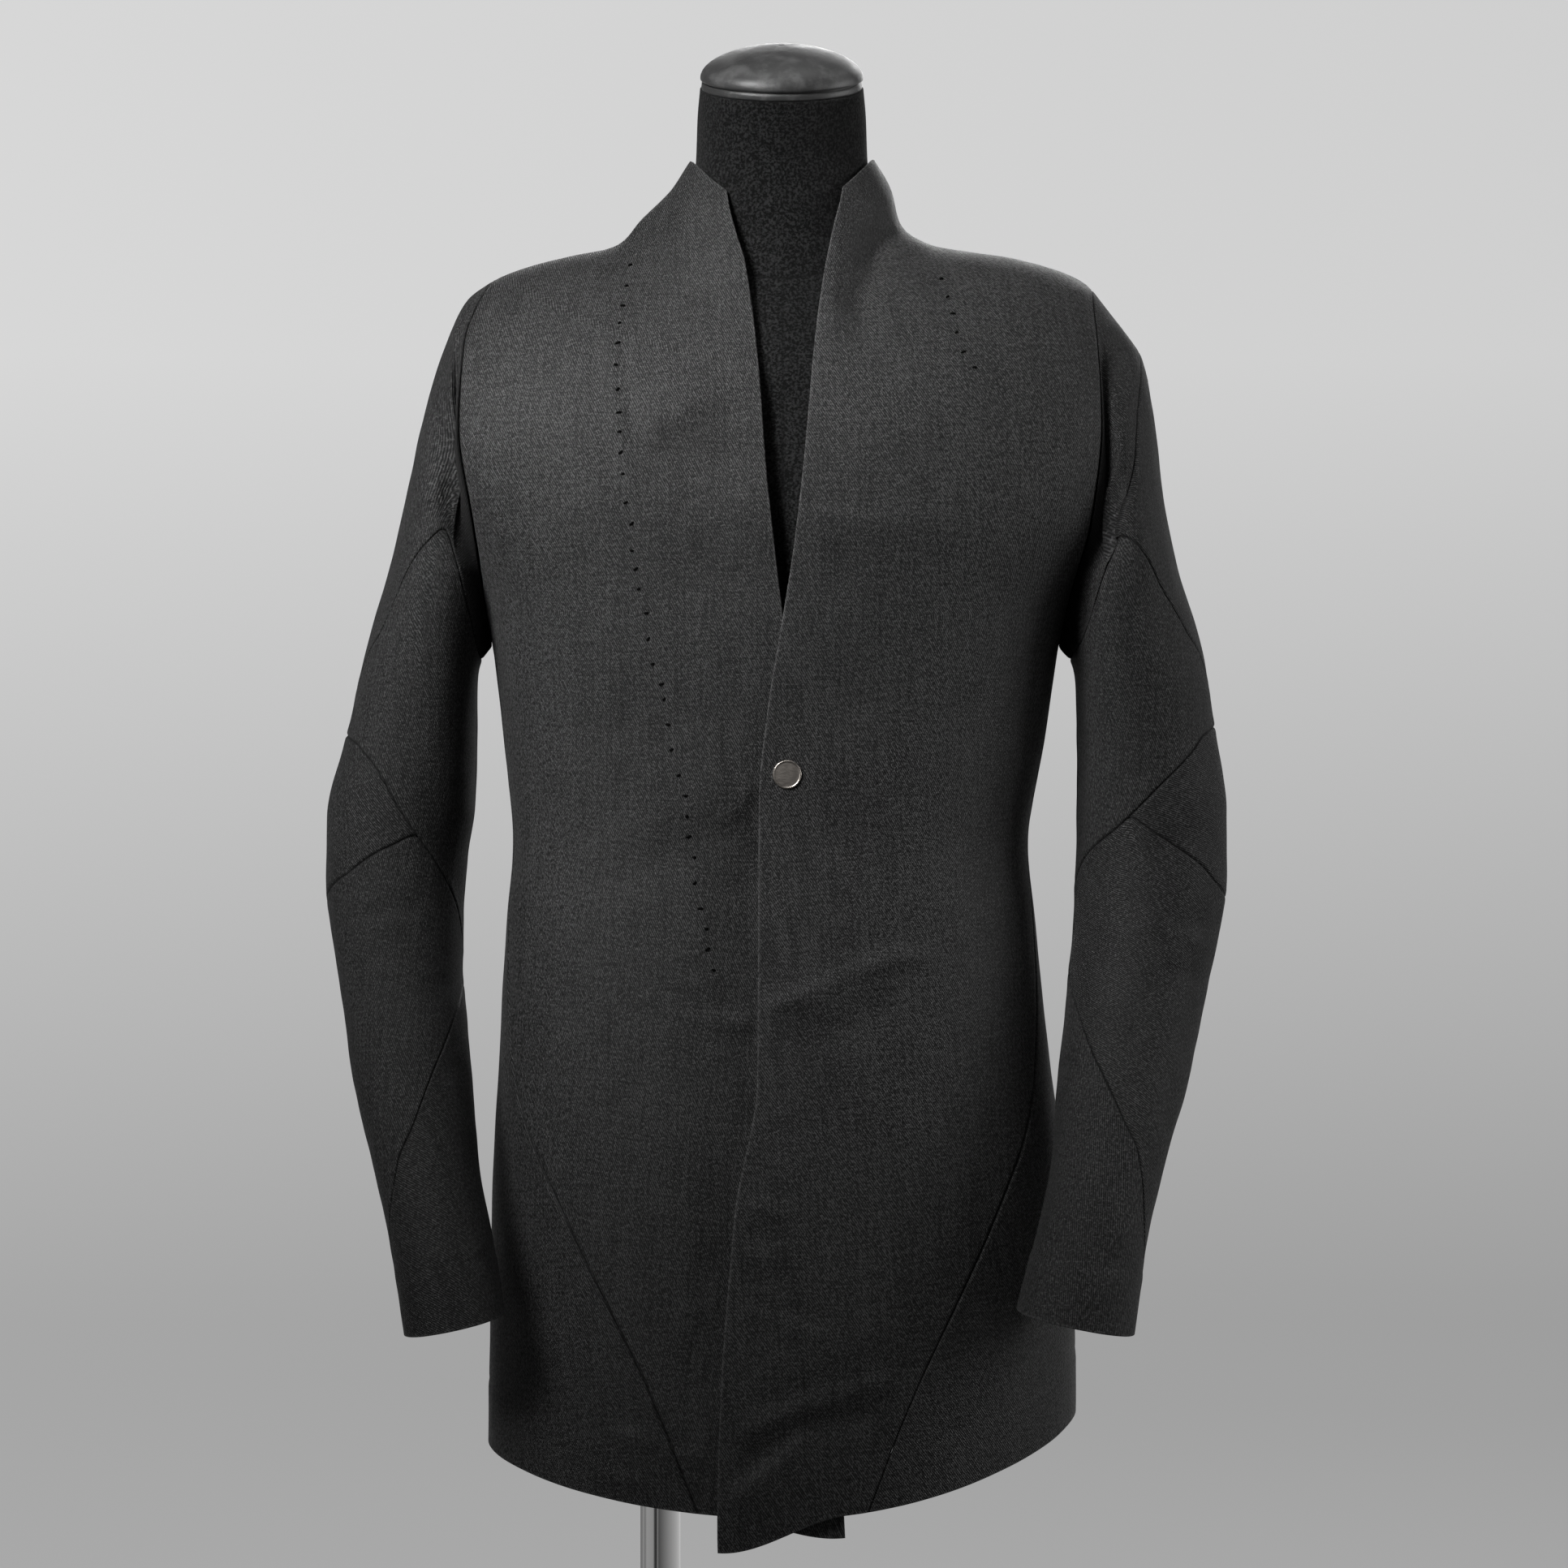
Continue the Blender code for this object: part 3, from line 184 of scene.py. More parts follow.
# Slanted sleeve seams: ring row at each angle round the arm, 0 outer, 90 front, 180 inner
SLANT_ANGLES = (0.0, 20.0, 40.0, 55.0, 70.0, 90.0, 120.0, 150.0, 180.0)
LEFT_SLANTS = {
    "bend_top": (7.7, 7.3, 6.1, 5.1, 4.1, 3.1, 2.5, 2.2, 2.0),
    "bend_bottom": (8.0, 8.0, 8.0, 8.1, 8.2, 8.35, 8.65, 8.95, 9.6),
    "elbow_width": (2.4, 2.3, 2.1, 1.7, 1.3, 0.75, 0.0, 0.0, 0.0),
    "cuff_top": (15.4, 15.05, 14.6, 14.15, 13.75, 13.4, 12.7, 11.8, 11.0),
}
RIGHT_SLANTS = {
    "bend_top": (7.8, 7.3, 6.2, 4.8, 4.0, 3.15, 2.5, 2.2, 2.0),
    "bend_bottom": (8.1, 8.1, 8.1, 8.15, 8.25, 8.5, 9.0, 9.75, 10.7),
    "elbow_width": (2.4, 2.2, 2.0, 1.75, 1.35, 0.75, 0.0, 0.0, 0.0),
    "cuff_top": (15.3, 14.9, 14.5, 14.2, 13.85, 13.5, 12.75, 12.0, 11.3),
}
ELBOW_REACH = 112.0
ELBOW_TIP = 0.6
STRETCH_POWER = 3.0
ARMHOLE_FADE = 3.0

# Where the upper front piece ends on the outer side
# Columns: share of the way to the bend seam, angle round the arm
LEFT_HEAD_SEAM = ((0.45, -8.0), (0.60, 12.0), (0.70, 46.0), (0.80, 68.0), (1.0, 90.0))
RIGHT_HEAD_SEAM = ((0.28, 0.0), (0.38, 7.0), (0.48, 3.0), (0.65, -9.0), (1.0, -24.0))

LEFT_SLEEVE_FOLDS = (
    (0.220, 1.400, 0.236, 1.258, 0.013, 0.0032),
    (0.236, 1.258, 0.268, 1.160, 0.014, 0.0032),
    (0.212, 1.380, 0.220, 1.250, 0.010, -0.0026),
    (0.300, 1.000, 0.250, 0.990, 0.010, -0.0034),
    (0.298, 0.965, 0.240, 0.945, 0.010, -0.0030),
    (0.290, 1.060, 0.252, 1.045, 0.010, -0.0030),
    (0.192, 0.893, 0.222, 0.886, 0.008, -0.0034),
    (0.196, 0.800, 0.222, 0.770, 0.009, -0.0026),
    (0.262, 0.870, 0.240, 0.800, 0.012, 0.0024),
)
RIGHT_SLEEVE_FOLDS = (
    (-0.240, 1.392, -0.232, 1.262, 0.010, -0.0040),
    (-0.262, 1.290, -0.252, 1.180, 0.016, 0.0030),
    (-0.306, 1.010, -0.246, 0.998, 0.010, -0.0036),
    (-0.304, 0.980, -0.232, 0.962, 0.009, 0.0032),
    (-0.300, 0.958, -0.236, 0.938, 0.010, -0.0032),
    (-0.244, 1.096, -0.226, 1.010, 0.012, -0.0030),
    (-0.290, 0.880, -0.236, 0.872, 0.011, -0.0026),
    (-0.226, 0.820, -0.206, 0.772, 0.010, 0.0024),
)
LEFT_SLEEVE_BACK_FOLDS = (
    (0.222, 1.390, 0.236, 1.250, 0.011, -0.0036),
    (0.300, 1.090, 0.240, 1.110, 0.011, -0.0030),
    (0.302, 1.030, 0.236, 1.045, 0.012, -0.0030),
    (0.280, 0.940, 0.215, 0.960, 0.012, 0.0026),
)
RIGHT_SLEEVE_BACK_FOLDS = (
    (-0.226, 1.392, -0.240, 1.255, 0.011, -0.0036),
    (-0.306, 1.080, -0.250, 1.104, 0.011, -0.0030),
    (-0.308, 1.020, -0.244, 1.030, 0.012, -0.0030),
    (-0.286, 0.930, -0.226, 0.950, 0.012, 0.0026),
)

# Fine creases as they look from the front: the line each follows, its width on the
# line's left and on its right, and its height
FRONT_CREASES = (
    (((-0.0170, 1.0905), (-0.0300, 1.0740), (-0.0430, 1.0600)), 0.0050, 0.0080, 0.0016),
    (((-0.0170, 0.9290), (-0.0441, 0.9340), (-0.0602, 0.9664)), 0.0060, 0.0045, 0.0014),
    (((-0.1016, 0.9518), (-0.0618, 0.9340), (-0.0175, 0.9280)), 0.0080, 0.0060, 0.0009),
    (((-0.0160, 0.9385), (0.0210, 0.9513), (0.0380, 0.9620), (0.0726, 0.9728), (0.1050, 0.9760)),
     0.0075, 0.0055, 0.0022),
    (((-0.0100, 0.9170), (0.0300, 0.9300), (0.0750, 0.9500)), 0.0100, 0.0120, -0.0016),
    (((-0.0260, 0.8100), (-0.0080, 0.8090), (0.0080, 0.8050)), 0.0060, 0.0080, 0.0012),
    (((-0.0290, 0.7920), (-0.0100, 0.7900), (0.0060, 0.7930)), 0.0070, 0.0070, -0.0010),
    (((-0.0310, 0.7650), (-0.0120, 0.7640), (0.0060, 0.7620)), 0.0080, 0.0070, -0.0012),
    (((-0.0320, 0.7460), (-0.0090, 0.7380), (0.0080, 0.7325), (0.0330, 0.7230)), 0.0050, 0.0060, 0.0016),
    (((-0.0344, 0.6717), (0.0247, 0.6841), (0.0540, 0.6920), (0.0796, 0.6970)), 0.0055, 0.0070, 0.0026),
    (((-0.0340, 0.6560), (0.0200, 0.6660), (0.0640, 0.6760)), 0.0070, 0.0100, -0.0020),
    (((-0.0359, 0.6380), (-0.0080, 0.6486), (0.0100, 0.6603), (0.0188, 0.6700)), 0.0045, 0.0060, 0.0014),
    (((-0.1150, 0.6600), (-0.0950, 0.6566), (-0.0820, 0.6510)), 0.0040, 0.0060, 0.0018),
    (((-0.0800, 0.6520), (-0.0672, 0.6470), (-0.0480, 0.6500)), 0.0040, 0.0060, 0.0016),
    (((-0.0916, 0.6855), (-0.0804, 0.6727), (-0.0680, 0.6577)), 0.0060, 0.0040, 0.0014),
    (((-0.1232, 0.6298), (-0.1071, 0.6314), (-0.0916, 0.6261)), 0.0050, 0.0050, 0.0010),
    (((-0.1220, 1.4335), (-0.1150, 1.3600), (-0.1050, 1.3000), (-0.0990, 1.2650)), 0.0040, 0.0030, 0.0010),
    (((-0.1290, 1.4200), (-0.1250, 1.3500), (-0.1120, 1.2800)), 0.0030, 0.0040, -0.0009),
    (((-0.1040, 1.4400), (-0.1060, 1.3800), (-0.0990, 1.3150)), 0.0050, 0.0030, -0.0009),
    (((-0.1400, 1.3500), (-0.1380, 1.3100), (-0.1300, 1.2700)), 0.0030, 0.0040, 0.0007),
    (((-0.0980, 1.3220), (-0.0600, 1.3450), (-0.0180, 1.3740)), 0.0300, 0.0110, 0.0026),
    (((-0.0480, 1.3300), (-0.0500, 1.2700), (-0.0400, 1.2000)), 0.0260, 0.0320, -0.0014),
    (((0.0100, 1.2680), (0.0600, 1.2660), (0.1150, 1.2670)), 0.0050, 0.0180, 0.0013),
    (((0.1330, 1.3200), (0.1380, 1.2500), (0.1300, 1.1600)), 0.0120, 0.0100, 0.0010),
    (((0.0740, 1.4740), (0.0665, 1.4561), (0.0620, 1.4384), (0.0480, 1.4000)), 0.0080, 0.0120, -0.0050),
    (((0.0400, 1.4650), (0.0330, 1.4200), (0.0300, 1.3700)), 0.0110, 0.0060, 0.0016),
    (((0.0366, 1.3911), (0.0382, 1.3782), (0.0392, 1.3685)), 0.0030, 0.0050, -0.0010),
    (((-0.0801, 1.4663), (-0.0968, 1.4480), (-0.1156, 1.4303)), 0.0060, 0.0080, -0.0018),
    (((-0.0620, 1.4900), (-0.0700, 1.4600), (-0.0640, 1.4200)), 0.0080, 0.0110, 0.0016),
    (((0.0300, 1.0500), (0.0420, 1.0150), (0.0450, 0.9850)), 0.0090, 0.0110, 0.0012),
    (((0.0950, 1.2600), (0.0800, 1.1900), (0.0400, 1.1300)), 0.0180, 0.0220, -0.0016),
    (((0.1380, 1.2500), (0.1200, 1.1600), (0.1300, 1.0600)), 0.0200, 0.0160, -0.0011),
    (((-0.1400, 1.1400), (-0.1250, 1.0500), (-0.1300, 0.9600)), 0.0150, 0.0190, -0.0010),
)
RIGHT_FRONT_CREASES = (
    (((-0.0150, 1.0950), (-0.0160, 0.9900), (-0.0172, 0.8943), (-0.0322, 0.8038), (-0.0400, 0.6600)),
     0.0200, 0.0330, -0.0070),
)
BACK_CREASES = (
    (((-0.0150, 1.0700), (-0.0600, 1.0620), (-0.1100, 1.0380)), 0.0050, 0.0100, 0.0014),
    (((0.0200, 1.0480), (0.0700, 1.0400), (0.1250, 1.0170)), 0.0100, 0.0050, 0.0013),
    (((-0.1250, 1.2600), (-0.0900, 1.3200), (-0.0500, 1.3600)), 0.0120, 0.0170, -0.0012),
    (((0.1300, 1.2500), (0.0980, 1.3100), (0.0600, 1.3650)), 0.0160, 0.0110, -0.0011),
    (((-0.0550, 1.4200), (-0.0100, 1.4080), (0.0480, 1.4180)), 0.0060, 0.0100, -0.0010),
    (((-0.0900, 0.7600), (-0.0700, 0.7000), (-0.0800, 0.6550)), 0.0100, 0.0060, 0.0012),
    (((0.0700, 0.8200), (0.0880, 0.7500), (0.0820, 0.6700)), 0.0080, 0.0120, 0.0012),
)
LEFT_SLEEVE_CREASES = (
    (((0.2140, 1.4000), (0.2169, 1.3623), (0.2180, 1.3239), (0.2158, 1.2909), (0.2125, 1.2635),
      (0.2060, 1.2300)), 0.0160, 0.0080, -0.0110),
    (((0.2100, 1.4160), (0.2206, 1.3842), (0.2262, 1.3364), (0.2332, 1.2815), (0.2398, 1.2431),
      (0.2500, 1.2160)), 0.0120, 0.0048, 0.0045),
    (((0.2579, 1.2651), (0.2618, 1.2250), (0.2700, 1.1866)), 0.0060, 0.0080, 0.0010),
    (((0.2960, 0.9762), (0.2718, 0.9850), (0.2500, 0.9930)), 0.0040, 0.0070, 0.0011),
    (((0.2940, 0.9560), (0.2650, 0.9640), (0.2450, 0.9600)), 0.0050, 0.0050, -0.0010),
    (((0.2598, 1.0003), (0.2379, 0.9894), (0.2106, 0.9905)), 0.0060, 0.0070, 0.0008),
    (((0.1815, 0.9021), (0.1975, 0.8999), (0.2180, 0.8960)), 0.0030, 0.0050, -0.0013),
    (((0.1655, 0.7974), (0.1842, 0.8022), (0.2013, 0.8092)), 0.0040, 0.0060, 0.0010),
    (((0.1680, 0.7860), (0.1900, 0.7800), (0.2080, 0.7700)), 0.0050, 0.0050, -0.0007),
)
RIGHT_SLEEVE_CREASES = (
    (((-0.2140, 1.4000), (-0.2212, 1.3623), (-0.2218, 1.3239), (-0.2190, 1.2909), (-0.2147, 1.2690),
      (-0.2080, 1.2350)), 0.0080, 0.0160, -0.0110),
    (((-0.2150, 1.4006), (-0.2300, 1.3622), (-0.2350, 1.3128), (-0.2387, 1.2689)), 0.0050, 0.0130, 0.0034),
    (((-0.2860, 0.9965), (-0.2598, 0.9948), (-0.2380, 0.9975)), 0.0050, 0.0070, 0.0012),
    (((-0.3030, 1.0058), (-0.2880, 1.0106), (-0.2707, 1.0069)), 0.0040, 0.0050, 0.0009),
    (((-0.2980, 0.9675), (-0.2707, 0.9729), (-0.2400, 0.9665)), 0.0060, 0.0050, -0.0010),
    (((-0.2723, 0.8957), (-0.2482, 0.9010), (-0.2162, 0.8957)), 0.0060, 0.0080, -0.0008),
    (((-0.2376, 0.7756), (-0.2162, 0.7793), (-0.1949, 0.7836)), 0.0050, 0.0060, 0.0007),
)
LEFT_SLEEVE_BACK_CREASES = (
    (((0.2950, 1.0520), (0.2650, 1.0640), (0.2280, 1.0600)), 0.0050, 0.0080, 0.0012),
    (((0.2960, 1.0040), (0.2600, 1.0160), (0.2300, 1.0140)), 0.0080, 0.0050, 0.0011),
    (((0.2400, 1.3500), (0.2480, 1.2900), (0.2600, 1.2300)), 0.0080, 0.0120, 0.0013),
    (((0.2150, 0.8600), (0.2350, 0.8700), (0.2600, 0.8650)), 0.0060, 0.0060, -0.0009),
)
RIGHT_SLEEVE_BACK_CREASES = (
    (((-0.3000, 1.0460), (-0.2700, 1.0590), (-0.2330, 1.0580)), 0.0080, 0.0050, 0.0012),
    (((-0.3020, 0.9960), (-0.2650, 1.0080), (-0.2380, 1.0050)), 0.0050, 0.0080, 0.0011),
    (((-0.2450, 1.3400), (-0.2500, 1.2800), (-0.2620, 1.2200)), 0.0120, 0.0080, 0.0013),
    (((-0.2300, 0.8500), (-0.2500, 0.8600), (-0.2750, 0.8540)), 0.0060, 0.0060, -0.0009),
)
FOLD_SHARE = 0.30
# How folds and creases fade towards their ends, and how uneven a crease's height is
FOLD_TAPER = (1.15, 0.75)
CREASE_TAPER = (5.0, 0.15)
CREASE_UNEVEN = 0.25
CREASE_TURNS = 9.0
CREASE_PHASE = 9000.0
BODY_RIPPLE = 0.00045
SLEEVE_RIPPLE = 0.00040
SLEEVE_RIPPLE_SCALE = 1.6
# How soon folds turn from the front to the back, and rows over which they start below the armhole
BODY_FACING = 3.0
SLEEVE_FACING = 2.5
SLEEVE_FOLD_START = 1.2
SLEEVE_CREASE_START = 0.45
# Slow waves over the cloth, columns: turns per metre along X, Y and Z, phase, share
RIPPLE_WAVES = (
    (9.0, 7.0, 5.0, 0.3, 0.24), (-7.0, 11.0, 8.0, 1.9, 0.22), (15.0, -9.0, 11.0, 4.1, 0.18),
    (21.0, 17.0, -6.0, 2.6, 0.14), (-19.0, 13.0, 23.0, 5.2, 0.12), (31.0, 8.0, 14.0, 0.9, 0.10),
)

# Fineness of the cloth's mesh
CELL = 0.0034
BORDER_STEPS = (0.0, 0.0003, 0.0006, 0.0010, 0.0016, 0.0025, 0.0038, 0.0055, 0.0078)
ARMHOLE_STEPS = 84
SIDE_COLUMNS = 24
HEAD_COLUMN = -14
# Lines shorter than this many borders get their border steps squeezed
BORDER_ROOM = 2.5
# The lines of a panel are divided for the length that this percentile of them has
LENGTH_PERCENTILE = 80
# Rows closer than this to the rows of a border are left out
ROW_CLEARANCE = 0.002
# Angle down each panel's middle, where its rows are spaced out
FRONT_MIDDLE = 40.0
BACK_MIDDLE = 160.0
COLLAR_MIDDLE = 150.0
# Samples along a line before it is divided evenly, and along the lines of a flattened panel
LINE_SAMPLES = 65
ROW_SAMPLES = 60
SLEEVE_LINE_SAMPLES = 49
SLEEVE_ROUND_SAMPLES = 241
FLAT_ROWS = 70
FLAT_COLUMNS = 33
# Rounds in which a ring's meeting with a front edge is found, and the furthest share across
EDGE_ROUNDS = 6
EDGE_WIDEST = 0.999
# Steps over which a surface's slope is taken: angle and row on the body, column and row on a sleeve
BODY_SLOPE_STEPS = (1.0, 0.04)
SLEEVE_SLOPE_STEPS = (4.0, 0.06)

# Sewn and folded borders
SEAM_DEPTH = 0.0010
SEAM_WIDTH = 0.0011
SEAM_PUFF = 0.00014
SEAM_PUFF_AT = 0.0040
SEAM_PUFF_WIDTH = 0.0030
PUCKER = 0.00012
PUCKER_LENGTH = 0.031
PUCKER_REACH = 0.0075
PUCKER_SWAY = 37.0
PUCKER_SWING = 3
EDGE_RADIUS = 0.00085
EDGE_WALL = 0.0001
# Width of the rubbed, lighter edge: real wear, and partly a painted highlight
EDGE_WEAR_AND_HIGHLIGHT = 0.0012
TURN_UP = 0.043
TURN_UP_LIFT = 0.00045
TURN_UP_FADE = 0.0028
TURN_UP_GROOVE = 0.6

# Dress form under the cloth, as distances inside the body rings
FORM_ROWS = (1.0, 1.3, 2.0, 3.0, 4.0, 5.0, 6.0, 7.0, 8.0, 9.0, 10.0, 10.6, 11.0, 12.0, 13.0)
FORM_INSET = (
    0.030, 0.020, 0.018, 0.018, 0.018, 0.018, 0.017, 0.014, 0.013, 0.012,
    0.0095, 0.0065, 0.0042, 0.0036, 0.0040,
)
FORM_FRONT_INSET = 0.0030
FORM_FLOOR = 0.705
FORM_FLOOR_SHARE = 0.90
FORM_FLOOR_RINGS = (0.2, 0.6, 0.9, 0.97)
# Angles of the form's columns: close together near the front seam, then evenly apart
FORM_SEAM_ANGLES = (0.0, 0.12, 0.3, 0.55, 0.9, 1.5, 2.4)
FORM_ANGLE_START = 4.0
FORM_ANGLE_STEP = 2.2
FORM_ROW_STEP = 0.14
NECK_ROW_STEP = 0.1
# Columns of the neck's rings: z_front, z_side, z_back, half_width, y_front, y_back
NECK_RINGS = (
    (1.424, 1.4660, 1.466, 0.0800, -0.0700, 0.0640),
    (1.440, 1.4760, 1.482, 0.0680, -0.0645, 0.0575),
    (1.468, 1.4930, 1.500, 0.0612, -0.0605, 0.0535),
    (1.505, 1.5200, 1.530, 0.0590, -0.0615, 0.0490),
    (1.532, 1.5480, 1.563, 0.0578, -0.0675, 0.0400),
    (1.5490, 1.5665, 1.584, 0.0560, -0.0725, 0.0330),
)
NECK_CENTRE_X = -0.001
NECK_SEAM_AT = 0.5
NECK_SEAM_WIDTH = 0.07
CENTRE_SEAM_WIDTH = 0.0011
CENTRE_SEAM_SHARE = 0.55
FORM_SEAM_DEPTH = 0.0006
CAP_RADIUS = 0.0552
# The cap's rim from below, columns: distance inside the cap's radius, height, seam's darkness
CAP_RIM = (
    (0.0276, 0.0, 0.8), (0.0030, 0.0, 0.8), (0.0009, 0.0, 0.8), (0.0003, 0.0004, 0.0),
    (0.0001, 0.0012, 0.0), (0.0002, 0.0030, 0.0), (0.0004, 0.0044, 0.0), (0.0012, 0.0050, 1.0),
    (0.0014, 0.0054, 1.0), (0.0006, 0.0058, 0.0), (-0.0004, 0.0064, 0.0), (-0.0006, 0.0074, 0.0),
)
DOME_TOP = 0.0300
DOME_TIP = 0.002
DOME_POWER = 1.15
DOME_STEPS = 40
CAP_SIDES = 128
TOUCH_GAP = 0.0003

# Snap, pole and base
SNAP_X = 0.0026
SNAP_Z = 1.0965
SNAP_RADIUS = 0.0096
SNAP_THICKNESS = 0.0017
SNAP_GAP = 0.0004
SNAP_ROW_SAMPLES = 81
POLE_X = -0.085
POLE_RADIUS = 0.014
POLE_CHAMFER = 0.0006
POLE_END = 0.002
POLE_RINGS = 24
BASE_RADIUS = 0.18
BASE_THICKNESS = 0.006
BASE_CHAMFER = 0.0012
STAND_SIDES = 96

# Smoothing of the body at the two ends of the armhole, in rings and then in metres
WIDENING_STEP = 0.02
WIDENING_MARGIN = 0.5
WIDENING_EASE = 0.30
EASE_WIDTH = 0.018
EASE_REACH = 0.034
EASE_BORDER = 0.010

# Hand stitches that hold the facings, as lines seen from the front, and their spacing
RIGHT_BASTING = (
    ((-0.1016, 1.4513), (-0.1118, 1.3937), (-0.1124, 1.3631), (-0.1091, 1.3115), (-0.0952, 1.2169),
     (-0.0790, 1.1405), (-0.0640, 1.0706), (-0.0564, 1.0169), (-0.0457, 0.9621)), 0.0152,
)
LEFT_BASTING = (
    ((0.1050, 1.4370), (0.1107, 1.4195), (0.1161, 1.3954), (0.1204, 1.3830), (0.1263, 1.3685),
     (0.1333, 1.3567)), 0.0132,
)
STITCH_LENGTH = 0.0034
STITCH_RADIUS = 0.00080
STITCH_SLANT = 20.0
STITCH_SWING = 25.0
STITCH_UNEVEN = 0.12
STITCH_LENGTH_UNEVEN = 0.2
# How fast the spacing, the slant and the length of the stitches change along a line
STITCH_SPACING_TURN = 900
STITCH_SLANT_TURN = 2.3
STITCH_LENGTH_TURN = 3.7
# Ends of a stitch: how far they dip in its radii, how blunt they are, and their thinnest share
STITCH_DIP = 3
STITCH_BLUNT = 4
STITCH_THIN = 0.05
STITCH_SIDES = 8
STITCH_RINGS = 7
DIMPLE = 0.00045
DIMPLE_WIDTH = 0.0026

# Surroundings as upright bands: degrees from straight ahead towards +X, and brightness
ROOM_BANDS = (
    (-180.0, 0.50), (-160.0, 0.40), (-148.0, 0.17), (-122.0, 0.14), (-108.0, 0.24), (-92.0, 0.14),
    (-80.0, 0.26), (-48.0, 0.24), (-36.0, 0.22), (-30.0, 0.04), (-18.0, 0.02), (-12.0, 0.18), (-6.0, 0.06),
    (16.0, 0.08), (24.0, 0.24), (38.0, 0.26), (44.0, 0.56), (92.0, 0.56), (100.0, 0.25), (140.0, 0.22),
    (160.0, 0.40), (180.0, 0.50),
)
# Where the bands are brightest, a little below the level, and how they fade from there: the
# sine of the angle, then the share that is left
ROOM_DIP = 0.14
ROOM_FADE = (0.06, 0.16, 1.3, 0.22)
# Columns: name, place, aimed at, width, height, spread in degrees, power
LIGHTS = (
    ("key", (-1.10, -1.40, 2.10), (-0.15, -0.05, 1.40), 0.8, 0.8, 50.0, 2.7),
    ("spot", (-1.10, -1.20, 2.30), (-0.15, -0.10, 1.37), 0.5, 0.5, 26.0, 0.66),
    ("fill", (2.7, -1.0, 1.5), (0.10, 0.0, 1.20), 1.4, 2.0, 180.0, 3.3),
    ("rim", (2.2, 0.1, 1.6), (0.20, 0.0, 1.25), 0.6, 1.6, 180.0, 14.0),
    ("top", (0.3, -0.6, 4.2), (0.0, 0.0, 1.30), 2.2, 1.6, 180.0, 13.0),
    ("back", (0.6, 3.4, 2.8), (0.0, 0.0, 1.20), 2.2, 1.6, 180.0, 60.0),
)

# Twill of the cloth: distance between its diagonal ribs, and their slope on the fronts
WALE_PITCH = 0.00138
WALE_SLOPE = 61.0
SIDE_WALE_SLOPE = 55.0
LEFT_SLEEVE_WALES = (48.0, 55.0, 72.0, 23.0, 24.0, 80.0)
RIGHT_SLEEVE_WALES = (66.0, 60.0, 56.0, 42.0, 80.0, 45.0)
# Painted shade: share of the cloth's colour kept on the sleeves, dimmer than the body, standing in for the
# weaker sheen they catch
SLEEVE_PAINTED_LIGHT = 0.70
SEAM_BLACK = 0.002
NOISE_LOW = 0.3
NOISE_HIGH = 0.7

# Painted shade in the hollow where each sleeve leaves the armhole: below the top, fading in over a height,
# within a reach of the seam, and how dark it gets
HOLLOW_TOP = 1.400
HOLLOW_FADE = 0.080
HOLLOW_REACH = 0.048
HOLLOW_PAINTED_SHADE = 0.97

# Backdrop: painted light, a glow in place of lamp light: brightness at its foot and at the given height, and
# how it falls towards +X
PAPER_PAINTED_LIGHT = (0.355, 0.650)
PAPER_HEIGHT = 2.2
PAPER_CURVE = 0.85
PAPER_LIGHT_SLANT = 0.013
FLOOR_RADIUS = 6.0
FLOOR_BEND = 2.5
FLOOR_TOP = 10.0
FLOOR_RINGS = (0.01, 1.0, 3.0)
FLOOR_STEPS = 12

# Camera, with the photo's width in pixels and the size of a pixel at the middle plane
PHOTO_WIDTH = 1932
PHOTO_SHIFT = 1
PIXEL_SIZE = 0.00056
CAMERA_DISTANCE = 3.0
CAMERA_HEIGHT = 1.09
CAMERA_SENSOR = 36.0


def smooth_curve(places, values, wanted):
    """Value of a smooth curve through the given points that never overshoots them."""
    places = np.asarray(places, dtype=float)
    values = np.asarray(values, dtype=float)
    steps = np.diff(places)
    slopes = np.diff(values) / steps
    before, after = slopes[:-1], slopes[1:]
    same_way = before * after > 0
    bends = np.where(same_way, 2 * before * after / np.where(same_way, before + after, 1.0), 0.0)
    tangents = np.concatenate(([slopes[0]], bends, [slopes[-1]]))
    wanted = np.clip(wanted, places[0], places[-1])
    piece = np.clip(np.searchsorted(places, wanted, side="right") - 1, 0, len(steps) - 1)
    width = steps[piece]
    t = (wanted - places[piece]) / width
    start, end = values[piece], values[piece + 1]
    leave, arrive = tangents[piece] * width, tangents[piece + 1] * width
    return (start * (1 + 2 * t) * (1 - t) ** 2 + leave * t * (1 - t) ** 2
            + end * t * t * (3 - 2 * t) + arrive * t * t * (t - 1))


def table_value(rings, columns, column, row):
    values = [ring[columns.index(column)] for ring in rings]
    return smooth_curve(range(len(values)), values, row)


def smooth_step(value):
    t = np.clip(value, 0.0, 1.0)
    return t * t * (3 - 2 * t)


def bell(value):
    return np.exp(-value ** 2)


def unit(vectors):
    return vectors / np.maximum(np.linalg.norm(vectors, axis=-1, keepdims=True), 1e-12)


def ring_factors(sine, cosine, power):
    """Places on a rounded ring: 1 across at the side, 1 deep at the front."""
    scale = (np.abs(sine) ** power + np.abs(cosine) ** power) ** (-1 / power)
    return sine * scale, cosine * scale


def armhole_angle(row):
    """Half of the angle that the armhole takes out of the side of a body ring."""
    along = np.clip((row - ARMHOLE_START) / (SHOULDER_ROW - ARMHOLE_START), 0.0, 1.0)
    return ARMHOLE_HALF_ANGLE * np.sqrt(np.sin(np.pi * along))


